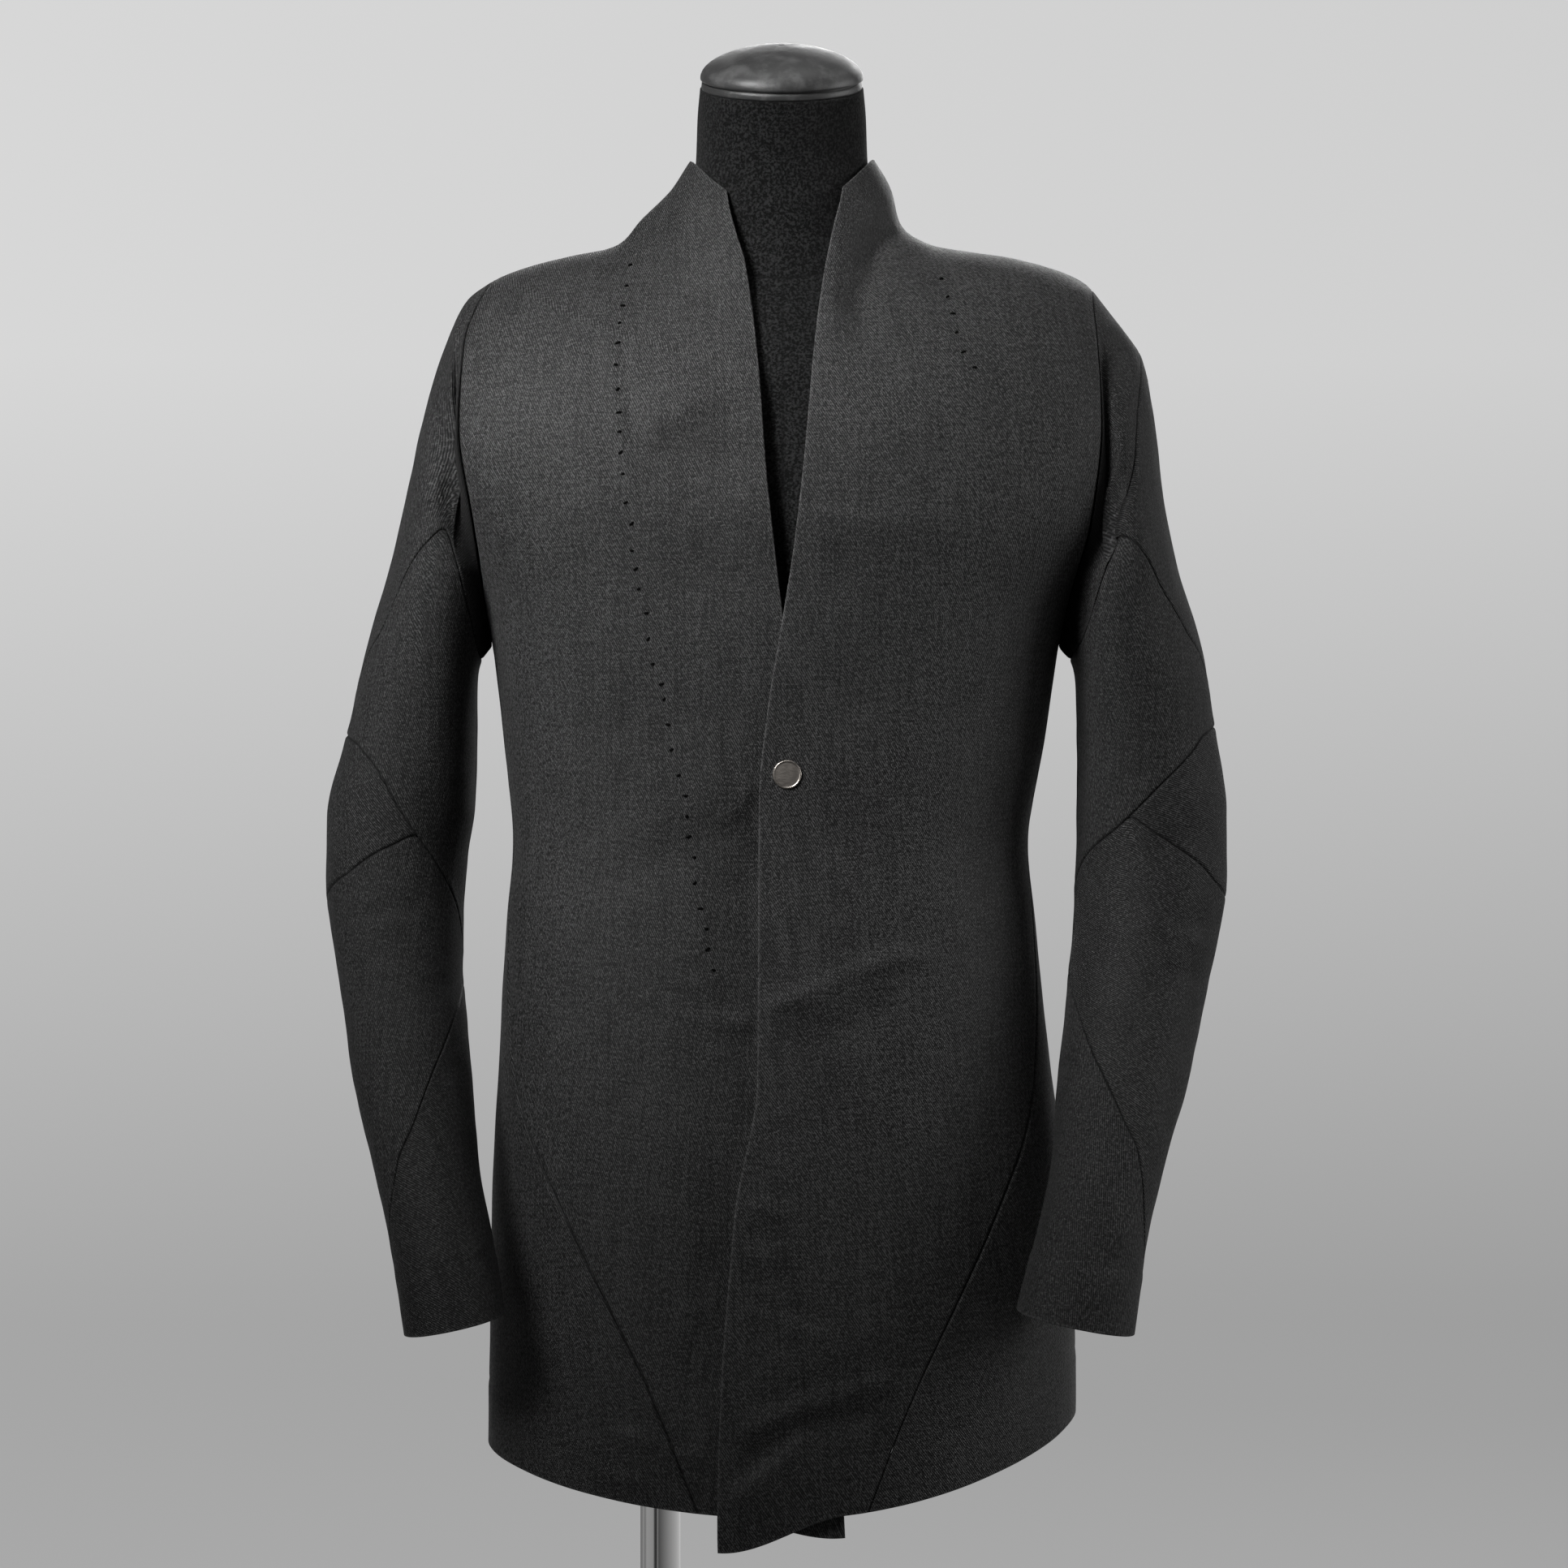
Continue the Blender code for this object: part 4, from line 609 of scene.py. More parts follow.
def ring_widening():
    """How much wider each of many body rings is for what its armholes take out."""
    rows = np.arange(-WIDENING_MARGIN, COLLAR_ROW + WIDENING_MARGIN, WIDENING_STEP)
    power = table_value(BODY_RINGS, BODY_COLUMNS, "power", rows)
    gap = np.radians(armhole_angle(rows))
    across, _ = ring_factors(np.cos(gap), np.sin(gap), power)
    near = bell((rows[:, None] - rows[None, :]) / WIDENING_EASE)
    return rows, near @ (1 / across) / near.sum(axis=1)


def body_point(angle, row, armholes=True):
    """Point of the body surface; angle 0 is the front, 90 the wearer's left side."""
    angle, row = np.broadcast_arrays(np.asarray(angle, dtype=float), np.asarray(row, dtype=float))
    turn = np.radians(angle)
    sine, cosine = np.sin(turn), np.cos(turn)

    def column(name):
        return table_value(BODY_RINGS, BODY_COLUMNS, name, row)

    power = column("power")
    widening = np.interp(row, *WIDENING) if armholes else 1.0
    on_left = sine >= 0
    half_width = np.where(on_left, column("x_left"), column("x_right")) * widening
    depth = np.where(cosine >= 0, column("y_front"), column("y_back"))
    across, deep = ring_factors(sine, cosine, power)
    side_height = np.where(on_left, column("z_left"), column("z_right"))
    middle_height = np.where(cosine >= 0, column("z_front"), column("z_back"))
    height = side_height + (middle_height - side_height) * cosine ** 2
    return np.stack((half_width * across, -depth * deep, height), axis=-1)


def form_surface(angle, row):
    return body_point(angle, row, armholes=False)


def surface_normal(surface, first, second, steps):
    first_step, second_step = steps
    along_first = surface(first + first_step, second) - surface(first - first_step, second)
    along_second = surface(first, second + second_step) - surface(first, second - second_step)
    return unit(np.cross(along_first, along_second))


def fold_height(points, folds):
    """Sum of soft ridges and troughs, each along a line seen from the front."""
    total = np.zeros(points.shape[:-1])
    for x_start, z_start, x_end, z_end, half_width, height in folds:
        run = np.array((x_end - x_start, z_end - z_start))
        offset = points[..., (0, 2)] - np.array((x_start, z_start))
        along = offset @ run / (run @ run)
        nearest = np.clip(along, 0.0, 1.0)[..., None] * run
        distance = np.linalg.norm(offset - nearest, axis=-1)
        taper = smooth_step(FOLD_TAPER[0] - np.abs(2 * along - 1) * FOLD_TAPER[1])
        total += height * taper * bell(distance / half_width)
    return total


def crease_height(points, creases):
    """Sum of creases along bent lines, each steeper on one side than on the other."""
    total = np.zeros(points.shape[:-1])
    flat = points[..., (0, 2)]
    rise, rest = CREASE_TAPER
    for line, left_width, right_width, height in creases:
        corners = np.array(line)
        runs = np.diff(corners, axis=0)
        lengths = np.linalg.norm(runs, axis=1)
        starts = np.concatenate(([0.0], np.cumsum(lengths)[:-1]))
        best = np.full(total.shape, np.inf)
        place = np.zeros(total.shape)
        side = np.zeros(total.shape)
        for corner, run, length, start in zip(corners, runs, lengths, starts):
            offset = flat - corner
            along = np.clip(offset @ run / length ** 2, 0.0, 1.0)
            distance = np.linalg.norm(offset - along[..., None] * run, axis=-1)
            nearer = distance < best
            best = np.where(nearer, distance, best)
            place = np.where(nearer, (start + along * length) / lengths.sum(), place)
            cross = run[0] * offset[..., 1] - run[1] * offset[..., 0]
            side = np.where(nearer, np.clip(cross / length / (distance + 1e-9), -1, 1), side)
        width = (left_width + right_width) / 2 + (left_width - right_width) / 2 * side
        taper = smooth_step(place * rise + rest) * smooth_step((1 - place) * rise + rest)
        unevenness = 1 + CREASE_UNEVEN * np.sin(place * CREASE_TURNS + height * CREASE_PHASE)
        total += height * taper * unevenness * bell(best / width)
    return total


def ripple(points):
    total = np.zeros(points.shape[:-1])
    for *turns, phase, share in RIPPLE_WAVES:
        total += share * np.sin(2 * np.pi * (points @ np.array(turns)) + phase)
    return total


def edge_place(edge, height):
    return smooth_curve(*zip(*edge), height)


def edge_angle(edge, row):
    """Angle at which a body ring meets a front edge, from the edge's place across."""
    angle = np.zeros_like(row)
    for _ in range(EDGE_ROUNDS):
        point = body_point(angle, row)
        wanted = edge_place(edge, point[..., 2])
        power = table_value(BODY_RINGS, BODY_COLUMNS, "power", row)
        side = np.where(wanted >= 0, 90.0, -90.0)
        share = np.clip(np.abs(wanted) / np.abs(body_point(side, row)[..., 0]), 0.0, EDGE_WIDEST)
        angle = np.sign(wanted) * np.degrees(np.arctan2(share, (1 - share ** power) ** (1 / power)))
    return angle


def covered(points, side):
    """0 where a right piece shows, 1 once it lies well under the left front."""
    if side > 0:
        return np.zeros(points.shape[:-1])
    inside = points[..., 0] - edge_place(LEFT_EDGE, points[..., 2])
    return smooth_step(inside / LAYER_TUCK_REACH)


def layer_offset(angle, points, side):
    """Step of the left pieces over the right ones where the fronts overlap."""
    fade = 1 - smooth_step((side * points[..., 0] - LAYER_FULL_TO) / LAYER_FADE)
    below_collar = 1 - smooth_step((points[..., 2] - LAYER_TOP) / LAYER_FADE)
    in_front = np.clip(np.cos(np.radians(angle)) * BODY_FACING, 0.0, 1.0)
    step = side * LAYER_STEP * fade - LAYER_TUCK * covered(points, side)
    return step * below_collar * in_front


def side_boundary(row, seam):
    """Angle of a front or back panel's side edge: side seam, armhole, then shoulder seam."""
    at_seam = smooth_curve(SEAM_ROWS, seam, row)
    toward_front = seam[0] < 90
    at_armhole = 90 - armhole_angle(row) if toward_front else 90 + armhole_angle(row)
    return np.where(row <= ARMPIT_ROW, at_seam, at_armhole)


def travelled(points, axis):
    """Distance walked along each line of a grid of points, from its first point."""
    steps = np.linalg.norm(np.diff(points, axis=axis), axis=-1)
    start = np.zeros_like(np.take(steps, [0], axis=axis))
    return np.concatenate((start, np.cumsum(steps, axis=axis)), axis=axis)


def spread(lengths):
    """Distances along lines of these lengths: even in the middle, closer near both ends."""
    near = np.array(BORDER_STEPS)
    squeeze = np.minimum(1.0, lengths / (BORDER_ROOM * near[-1]))[:, None]
    start = near[None, :] * squeeze
    count = max(3, int(np.ceil((np.percentile(lengths, LENGTH_PERCENTILE) - 2 * near[-1]) / CELL)))
    inner = np.arange(1, count) / count
    between = start[:, -1:] + (lengths[:, None] - 2 * start[:, -1:]) * inner[None, :]
    return np.concatenate((start, between, lengths[:, None] - start[:, ::-1]), axis=1)


def even_shares(points):
    """Shares of the way along each line of sampled points that lie at spread distances."""
    shares = np.linspace(0.0, 1.0, points.shape[1])
    walked = travelled(points, 1)
    wanted = spread(walked[:, -1])
    return np.stack([np.interp(want, walk, shares) for want, walk in zip(wanted, walked)])


def interpolated(wanted, places, values):
    """Every column of values at the wanted places."""
    return np.stack([np.interp(wanted, places, column) for column in values.T], axis=-1)


def rows_between(limits, angle):
    """Body rows at even distances along one angle, with every limit row among them."""
    found = []
    for low, high in zip(limits, limits[1:]):
        fine = np.linspace(low, high, ROW_SAMPLES)
        walked = travelled(form_surface(np.full_like(fine, angle), fine), 0)
        count = max(2, int(np.ceil(walked[-1] / CELL)))
        even = np.arange(count) / count
        if low == ARMPIT_ROW:
            even = (1 - np.cos(np.pi * even)) / 2
        found += list(np.interp(even * walked[-1], walked, fine))
    near = np.array(BORDER_STEPS[:-1])
    start, end = limits[0], limits[-1]
    first = start + near / np.linalg.norm(form_surface(angle, start + 1) - form_surface(angle, start))
    last = end - near / np.linalg.norm(form_surface(angle, end) - form_surface(angle, end - 1))
    middle = [row for row in found if first[-1] < row - ROW_CLEARANCE and row + ROW_CLEARANCE < last[-1]]
    return np.concatenate((first, middle, last[::-1]))


def body_grid(angles, rows, side=0):
    """Points and normals of a stretch of the body surface with its folds on it."""
    base = body_point(angles, rows)
    normals = surface_normal(form_surface, angles, rows, BODY_SLOPE_STEPS)
    facing = np.cos(np.radians(angles)) * BODY_FACING
    front = FOLD_SHARE * fold_height(base, FRONT_FOLDS) + crease_height(base, FRONT_CREASES)
    if side < 0:
        front += crease_height(base, RIGHT_FRONT_CREASES)
    back = FOLD_SHARE * fold_height(base, BACK_FOLDS) + crease_height(base, BACK_CREASES)
    folds = front * np.clip(facing, 0.0, 1.0) + back * np.clip(-facing, 0.0, 1.0)
    folds += BODY_RIPPLE * ripple(base)
    height = folds * (1 - covered(base, side)) + layer_offset(angles, base, side)
    return base + normals * height[..., None], normals


def drop_corner(points, rows, edge_x, drop):
    """Let the hem hang lower towards the front edge's corner."""
    near = 1 - smooth_step(np.abs(points[..., 0] - edge_x) / CORNER_REACH)
    low = 1 - smooth_step(rows / CORNER_ROWS)
    points[..., 2] -= drop * near * low


def pull_in(points, normals, gap):
    """Move the four borders of a grid of points inward."""
    moved = points.copy()
    depth = len(BORDER_STEPS) - 1
    for axis in (0, 1):
        for border, inside in ((0, depth), (-1, -1 - depth)):
            edge = np.take(points, border, axis=axis)
            inner = np.take(points, inside, axis=axis)
            tangent = unit(np.gradient(edge, axis=0))
            inward = inner - edge
            edge_normal = np.take(normals, border, axis=axis)
            inward -= np.sum(inward * tangent, axis=-1, keepdims=True) * tangent
            inward -= np.sum(inward * edge_normal, axis=-1, keepdims=True) * edge_normal
            step = unit(inward) * gap
            if axis == 0:
                moved[border] += step
            else:
                moved[:, border] += step
    return moved


def turned_by(flat, degrees):
    turn = math.radians(degrees)
    return flat @ np.array(((math.cos(turn), math.sin(turn)), (-math.sin(turn), math.cos(turn))))


def eased(points, rows):
    """Smooth the surface where the armhole starts and ends, away from the panel's borders."""
    down, across = travelled(points, 0), travelled(points, 1)
    to_border = np.minimum(across, across[:, -1:] - across)
    spacing = np.gradient(down, axis=0)
    ends = [int(np.argmin(np.abs(rows - row))) for row in (ARMPIT_ROW, SHOULDER_ROW)]
    near = sum(bell((down - down[end]) / EASE_REACH) for end in ends)
    near = np.clip(near, 0.0, 1.0) * smooth_step(to_border / EASE_BORDER)
    smooth = np.empty_like(points)
    for column in range(points.shape[1]):
        line = down[:, column]
        kernel = bell((line[:, None] - line[None, :]) / EASE_WIDTH) * spacing[None, :, column]
        smooth[:, column] = kernel @ points[:, column] / kernel.sum(axis=1, keepdims=True)
    return points + (smooth - points) * near[..., None]


def grid_quads(rows, columns, around=False):
    """Corner numbers of a grid, and its quads, which close up sideways if it goes around."""
    corners = np.arange(rows * columns).reshape(rows, columns)
    after = np.roll(corners, -1, axis=1)
    quads = np.stack((corners[:-1], after[:-1], after[1:], corners[1:]), axis=-1)
    return corners, (quads if around else quads[:, :-1]).reshape(-1, 4)


def new_mesh(name, points, faces):
    mesh = bpy.data.meshes.new(name)
    mesh.from_pydata(np.asarray(points).reshape(-1, 3).tolist(), [], faces)
    mesh.shade_smooth()
    return mesh


def new_object(name, data):
    thing = bpy.data.objects.new(name, data)
    bpy.context.scene.collection.objects.link(thing)
    return thing


def store(mesh, label, values):
    mesh.attributes.new(label, "FLOAT", "POINT").data.foreach_set("value", values)


def unwrapped(grid):
    """The grid of points laid flat by an unwrap of its surface, at any size and turn."""
    rows, columns = grid.shape[:2]
    mesh = new_mesh("flattened", grid, grid_quads(rows, columns)[1].tolist())
    mesh.uv_layers.new(name="flat")
    thing = new_object("flattened", mesh)
    bpy.context.view_layer.objects.active = thing
    bpy.ops.object.mode_set(mode="EDIT")
    bpy.ops.mesh.select_all(action="SELECT")
    bpy.ops.uv.unwrap(method="ANGLE_BASED", correct_aspect=False, margin=0.0)
    bpy.ops.object.mode_set(mode="OBJECT")
    loops = np.zeros(len(mesh.loops) * 2)
    mesh.uv_layers["flat"].uv.foreach_get("vector", loops)
    order = np.zeros(len(mesh.loops), dtype=int)
    mesh.loops.foreach_get("vertex_index", order)
    flat = np.zeros((rows * columns, 2))
    flat[order] = loops.reshape(-1, 2)
    bpy.data.objects.remove(thing, do_unlink=True)
    bpy.data.meshes.remove(mesh)
    return flat.reshape(rows, columns, 2)


def flat_map(points, normals):
    """The grid laid flat in metres as seen from outside, its height up along the second axis."""
    walked = travelled(points, 1)
    shares = walked / walked[:, -1:]
    down = travelled(points, 0).mean(axis=1)
    change = down + np.concatenate(([0.0], 2 * np.cumsum(np.abs(np.diff(walked[:, -1])))))
    picked = np.searchsorted(change, np.linspace(0, change[-1], FLAT_ROWS))
    picked = np.unique(picked.clip(0, len(down) - 1))
    coarse_shares = np.linspace(0.0, 1.0, FLAT_COLUMNS)
    coarse = np.stack([interpolated(coarse_shares, shares[row], points[row]) for row in picked])
    flat = unwrapped(coarse)
    across, up = coarse[:-1, 1:] - coarse[:-1, :-1], coarse[1:, :-1] - coarse[:-1, :-1]
    flat_across, flat_up = flat[:-1, 1:] - flat[:-1, :-1], flat[1:, :-1] - flat[:-1, :-1]
    real_area = np.linalg.norm(np.cross(across, up), axis=-1).sum()
    flat_area = flat_across[..., 0] * flat_up[..., 1] - flat_across[..., 1] * flat_up[..., 0]
    normal = unit(np.cross(across, up))
    middle = len(points) // 2, points.shape[1] // 2
    outward = np.cross(points[middle[0], middle[1] + 1] - points[middle],
                       points[middle[0] + 1, middle[1]] - points[middle]) @ normals[middle]
    if flat_area.sum() * outward < 0:
        flat = flat * (-1, 1)
        flat_across, flat_up = flat_across * (-1, 1), flat_up * (-1, 1)
    size = math.sqrt(real_area / abs(flat_area.sum()))
    aim = np.array((0.0, 0.0, 1.0)) - normal * normal[..., 2:]
    gram = np.stack([np.stack([(a * b).sum(-1) for b in (across, up)], -1) for a in (across, up)], -2)
    wanted = np.stack([(aim * a).sum(-1) for a in (across, up)], -1)
    parts = np.linalg.solve(gram, wanted[..., None])[..., 0]
    mean_up = (parts[..., :1] * flat_across + parts[..., 1:] * flat_up).sum(axis=(0, 1))
    flat = turned_by(flat, 90 - math.degrees(math.atan2(mean_up[1], mean_up[0]))) * size
    lines = [interpolated(down, down[picked], flat[:, column]) for column in range(FLAT_COLUMNS)]
    return np.stack([interpolated(share, coarse_shares, line)
                     for share, line in zip(shares, np.stack(lines, axis=1))])


def border_shape(points, borders):
    """How far each border sinks or rounds, and how near each point is to a seam or an edge."""
    down, across = travelled(points, 0), travelled(points, 1)
    distances = (down, down[-1:] - down, across, across[:, -1:] - across)
    walks = (across, across, down, down)
    lift, sink, roll, seam, edge_wear_and_highlight = np.zeros((5, *points.shape[:-1]))
    for kind, distance, walk in zip(borders, distances, walks):
        if kind == "seam":
            sink = np.maximum(sink, SEAM_DEPTH * bell(distance / SEAM_WIDTH))
            lift += SEAM_PUFF * bell((distance - SEAM_PUFF_AT) / SEAM_PUFF_WIDTH)
            sway = PUCKER_SWING * np.sin(walk * PUCKER_SWAY)
            wave = np.sin(walk * 2 * np.pi / PUCKER_LENGTH + sway)
            lift += PUCKER * wave * distance / PUCKER_REACH * bell(distance / PUCKER_REACH)
            seam = np.maximum(seam, bell(distance / SEAM_WIDTH))
        else:
            short = np.clip(EDGE_RADIUS - distance, 0.0, EDGE_RADIUS)
            roll = np.maximum(roll, EDGE_RADIUS - np.sqrt(EDGE_RADIUS ** 2 - short ** 2))
            # Rubbed edges: real wear, and partly a painted highlight where the rolled edge catches light
            edge_wear_and_highlight = np.maximum(edge_wear_and_highlight, bell(distance / EDGE_WEAR_AND_HIGHLIGHT))
        if kind == "hem":
            lift += TURN_UP_LIFT * smooth_step((TURN_UP - distance) / TURN_UP_FADE)
            lift -= TURN_UP_LIFT * TURN_UP_GROOVE * bell((distance - TURN_UP) / TURN_UP_FADE)
    return lift, sink, roll, seam, edge_wear_and_highlight


def wall_faces(outer, normals):
    """Faces of a closed wall: the outer grid, a second grid inside it, and the border between."""
    corners, quads = grid_quads(*outer.shape[:2])
    middle = quads[len(quads) // 2]
    first = outer.reshape(-1, 3)[middle]
    face_normal = np.cross(first[1] - first[0], first[3] - first[0])
    way = -1 if face_normal @ normals.reshape(-1, 3)[middle[0]] < 0 else 1
    quads = quads[:, ::way]
    ring = np.concatenate((corners[0, :-1], corners[:-1, -1], corners[-1, :0:-1], corners[:0:-1, 0]))
    after = np.roll(ring, -1)
    below = corners.size
    closing = np.stack((after, ring, ring + below, after + below), axis=-1)[:, ::way]
    return np.concatenate((quads, quads[:, ::-1] + below, closing))


def cloth_piece(name, points, normals, borders, grain, basting=None, painted_light=1.0):
    """Closed wall of cloth for the solid of the same name, on a grid of surface points."""
    upright = flat_map(points, normals)
    lift, sink, roll, seam, edge_wear_and_highlight = border_shape(points, borders)
    stitches = stitch_spots(points, basting) if basting else ()
    for spot in stitches:
        lift -= DIMPLE * bell(np.linalg.norm(points - points[spot], axis=-1) / DIMPLE_WIDTH)
    outer = points + normals * (lift - np.maximum(sink, roll))[..., None]
    inner = points + normals * (roll - CLOTH)[..., None]
    inner = pull_in(inner, normals, INNER_BEVEL)
    every = slice(None)
    for kind, where in zip(borders, ((0, every), (-1, every), (every, 0), (every, -1))):
        if kind != "seam":
            inner[where] = outer[where] - normals[where] * EDGE_WALL
    faces = wall_faces(outer, normals)
    mesh = new_mesh(name, np.stack((outer, inner)), faces.tolist())
    flat = np.tile(turned_by(upright, grain - 90).reshape(-1, 2), (2, 1))
    layer = mesh.uv_layers.new(name="grain")
    layer.uv.foreach_set("vector", flat[faces.reshape(-1)].reshape(-1))
    # Stored per point: seam nearness, rubbed edges that also paint a highlight, and a share of the colour
    # that paints shade on the sleeves
    for label, values in (("seam", seam), ("edge_wear_and_highlight", edge_wear_and_highlight), ("painted_light", np.ones(seam.shape) * painted_light)):
        store(mesh, label, np.tile(values.reshape(-1), 2))
    piece = place_piece(name, mesh, denim, name)
    extra = [stitch_piece(name, outer, normals, stitches)] if stitches else []


def stitch_spots(points, basting):
    """Grid corners that lie nearest to even steps along a line seen from the front."""
    line, spacing = basting
    corners = np.array(line)
    walked = travelled(corners, 0)
    steps = np.arange(spacing / 2, walked[-1], spacing)
    steps = steps + STITCH_UNEVEN * spacing * np.sin(steps * STITCH_SPACING_TURN)
    spots = []
    for place in interpolated(steps, walked, corners):
        distance = np.linalg.norm(points[..., (0, 2)] - place, axis=-1)
        spots.append(np.unravel_index(distance.argmin(), distance.shape))
    return spots


def stitch_piece(name, outer, normals, spots):
    """Short slanted stitches of black thread, joined into one mesh."""
    turns = 2 * np.pi * np.arange(STITCH_SIDES) / STITCH_SIDES
    swell = np.sqrt(np.clip(1 - np.linspace(-1, 1, STITCH_RINGS) ** STITCH_BLUNT, STITCH_THIN, 1.0))
    rings = []
    for number, spot in enumerate(spots):
        normal = Vector(normals[spot])
        slant = math.radians(STITCH_SLANT + STITCH_SWING * math.sin(number * STITCH_SLANT_TURN))
        along = Vector((math.cos(slant), 0.0, math.sin(slant)))
        along = (along - normal * along.dot(normal)).normalized()
        across = normal.cross(along)
        centre = Vector(outer[spot]) + normal * STITCH_RADIUS
        length = STITCH_LENGTH * (1 + STITCH_LENGTH_UNEVEN * math.sin(number * STITCH_LENGTH_TURN))
        for place, size in zip(np.linspace(-0.5, 0.5, STITCH_RINGS), swell):
            middle = centre + along * (length * place)
            middle = middle - normal * (STITCH_RADIUS * STITCH_DIP * place ** 2)
            rings.append([middle + (across * math.cos(turn) + normal * math.sin(turn)) * STITCH_RADIUS * size
                          for turn in turns])
    corners, quads = grid_quads(STITCH_RINGS, STITCH_SIDES, around=True)
    starts = np.arange(len(spots))[:, None] * corners.size
    quads = (starts[..., None] + quads).reshape(-1, 4).tolist()
    ends = np.concatenate((starts + corners[0, ::-1], starts + corners[-1])).tolist()
    mesh = new_mesh(name + "_basting", rings, quads + ends)
    return place_piece(name + "_basting", mesh, thread)


def place_piece(name, mesh, finish, node=None):
    """Object for a mesh that rides on the part's one body, and stands for a node if named."""
    mesh.materials.append(finish)
    piece = new_object("look_" + name, mesh)
    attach(piece, "root")
    if node:
        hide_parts(node)
    return piece


def panel_angles(rows, angles_at, low=0.0):
    """Angles of a panel's grid, evenly spread along each row, for shares from low to 1."""
    count = LINE_SAMPLES if low == 0 else 2 * LINE_SAMPLES - 1
    sample = np.broadcast_to(np.linspace(low, 1.0, count), (len(rows), count))
    share = even_shares(body_point(angles_at(sample), rows[:, None]))
    return angles_at(low + (1 - low) * share)


def front_panel(name, edge, side, drop, basting):
    """One front with its collar; side is 1 for the wearer's left."""
    rows = rows_between((0.0, ARMPIT_ROW, SHOULDER_ROW, NECK_ROW, COLLAR_ROW), side * FRONT_MIDDLE)
    front = edge_angle(edge, rows)
    back = side * side_boundary(rows, FRONT_SEAM)

    def angles_at(share):
        spread_out = side * armhole_angle(rows)[:, None] * (share - share ** 2)
        return front[:, None] + (back - front)[:, None] * share + spread_out

    angles = panel_angles(rows, angles_at)
    grid_rows = np.broadcast_to(rows[:, None], angles.shape)
    edge_x = body_point(front, rows)[:, 0]
    points, normals = body_grid(angles, grid_rows, side)
    points = eased(points, rows)
    drop_corner(points, grid_rows, edge_x[0], drop)
    cloth_piece(name, points, normals, ("hem", "edge", "edge", "seam"), WALE_SLOPE, basting)


def side_top(angle):
    """Row of the armhole's lowest stretch, along the top of a side panel."""
    half = armhole_angle(ARMPIT_ROW)
    across = np.clip((np.abs(angle) - 90 + half) / (2 * half), 0.0, 1.0)
    return ARMPIT_ROW - ARMHOLE_DIP * np.sin(np.pi * across)


def side_panel(name, side):
    rows = rows_between((0.0, ARMPIT_ROW), side * 90.0)
    front = side * smooth_curve(SEAM_ROWS, FRONT_SEAM, rows)[:, None]
    back = side * smooth_curve(SEAM_ROWS, BACK_SEAM, rows)[:, None]
    angles = panel_angles(rows, lambda share: front + (back - front) * share)
    lift = smooth_step((rows - DIP_FROM_ROW) / (ARMPIT_ROW - DIP_FROM_ROW))
    grid_rows = rows[:, None] + (side_top(angles) - ARMPIT_ROW) * lift[:, None]
    points, normals = body_grid(angles, grid_rows, side)
    cloth_piece(name, points, normals, ("hem", "seam", "seam", "seam"), SIDE_WALE_SLOPE)


def back_panel():
    rows = rows_between((0.0, ARMPIT_ROW, SHOULDER_ROW, NECK_ROW), BACK_MIDDLE)
    edge = side_boundary(rows, BACK_SEAM)

    def angles_at(across):
        spread_out = armhole_angle(rows)[:, None] * (across - across * np.abs(across))
        return 180 + (180 - edge)[:, None] * across + spread_out

    angles = panel_angles(rows, angles_at, -1.0)
    points, normals = body_grid(angles, np.broadcast_to(rows[:, None], angles.shape))
    points = eased(points, rows)
    cloth_piece("back", points, normals, ("hem", "seam", "seam", "seam"), WALE_SLOPE)


def back_collar():
    rows = rows_between((NECK_ROW, COLLAR_ROW), COLLAR_MIDDLE)
    angles = panel_angles(rows, lambda across: 180.0 + 90.0 * across, -1.0)
    points, normals = body_grid(angles, np.broadcast_to(rows[:, None], angles.shape))
    cloth_piece("back_collar", points, normals, ("seam", "edge", "seam", "seam"), WALE_SLOPE)


def armhole_loop(side):
    """Corners of the armhole, from the shoulder down the front and up the back."""
    share = (1 - np.cos(np.pi * np.arange(ARMHOLE_STEPS + 1) / ARMHOLE_STEPS)) / 2
    up = ARMPIT_ROW + (SHOULDER_ROW - ARMPIT_ROW) * share
    half = armhole_angle(ARMPIT_ROW)
    under = np.linspace(90 - half, 90 + half, SIDE_COLUMNS + 1)
    angles = np.concatenate((90 - armhole_angle(up[::-1]), under[1:-1], 90 + armhole_angle(up)))
    rows = np.concatenate((up[::-1], side_top(under)[1:-1], up))
    points, _ = body_grid(side * angles, rows, side)
    return points


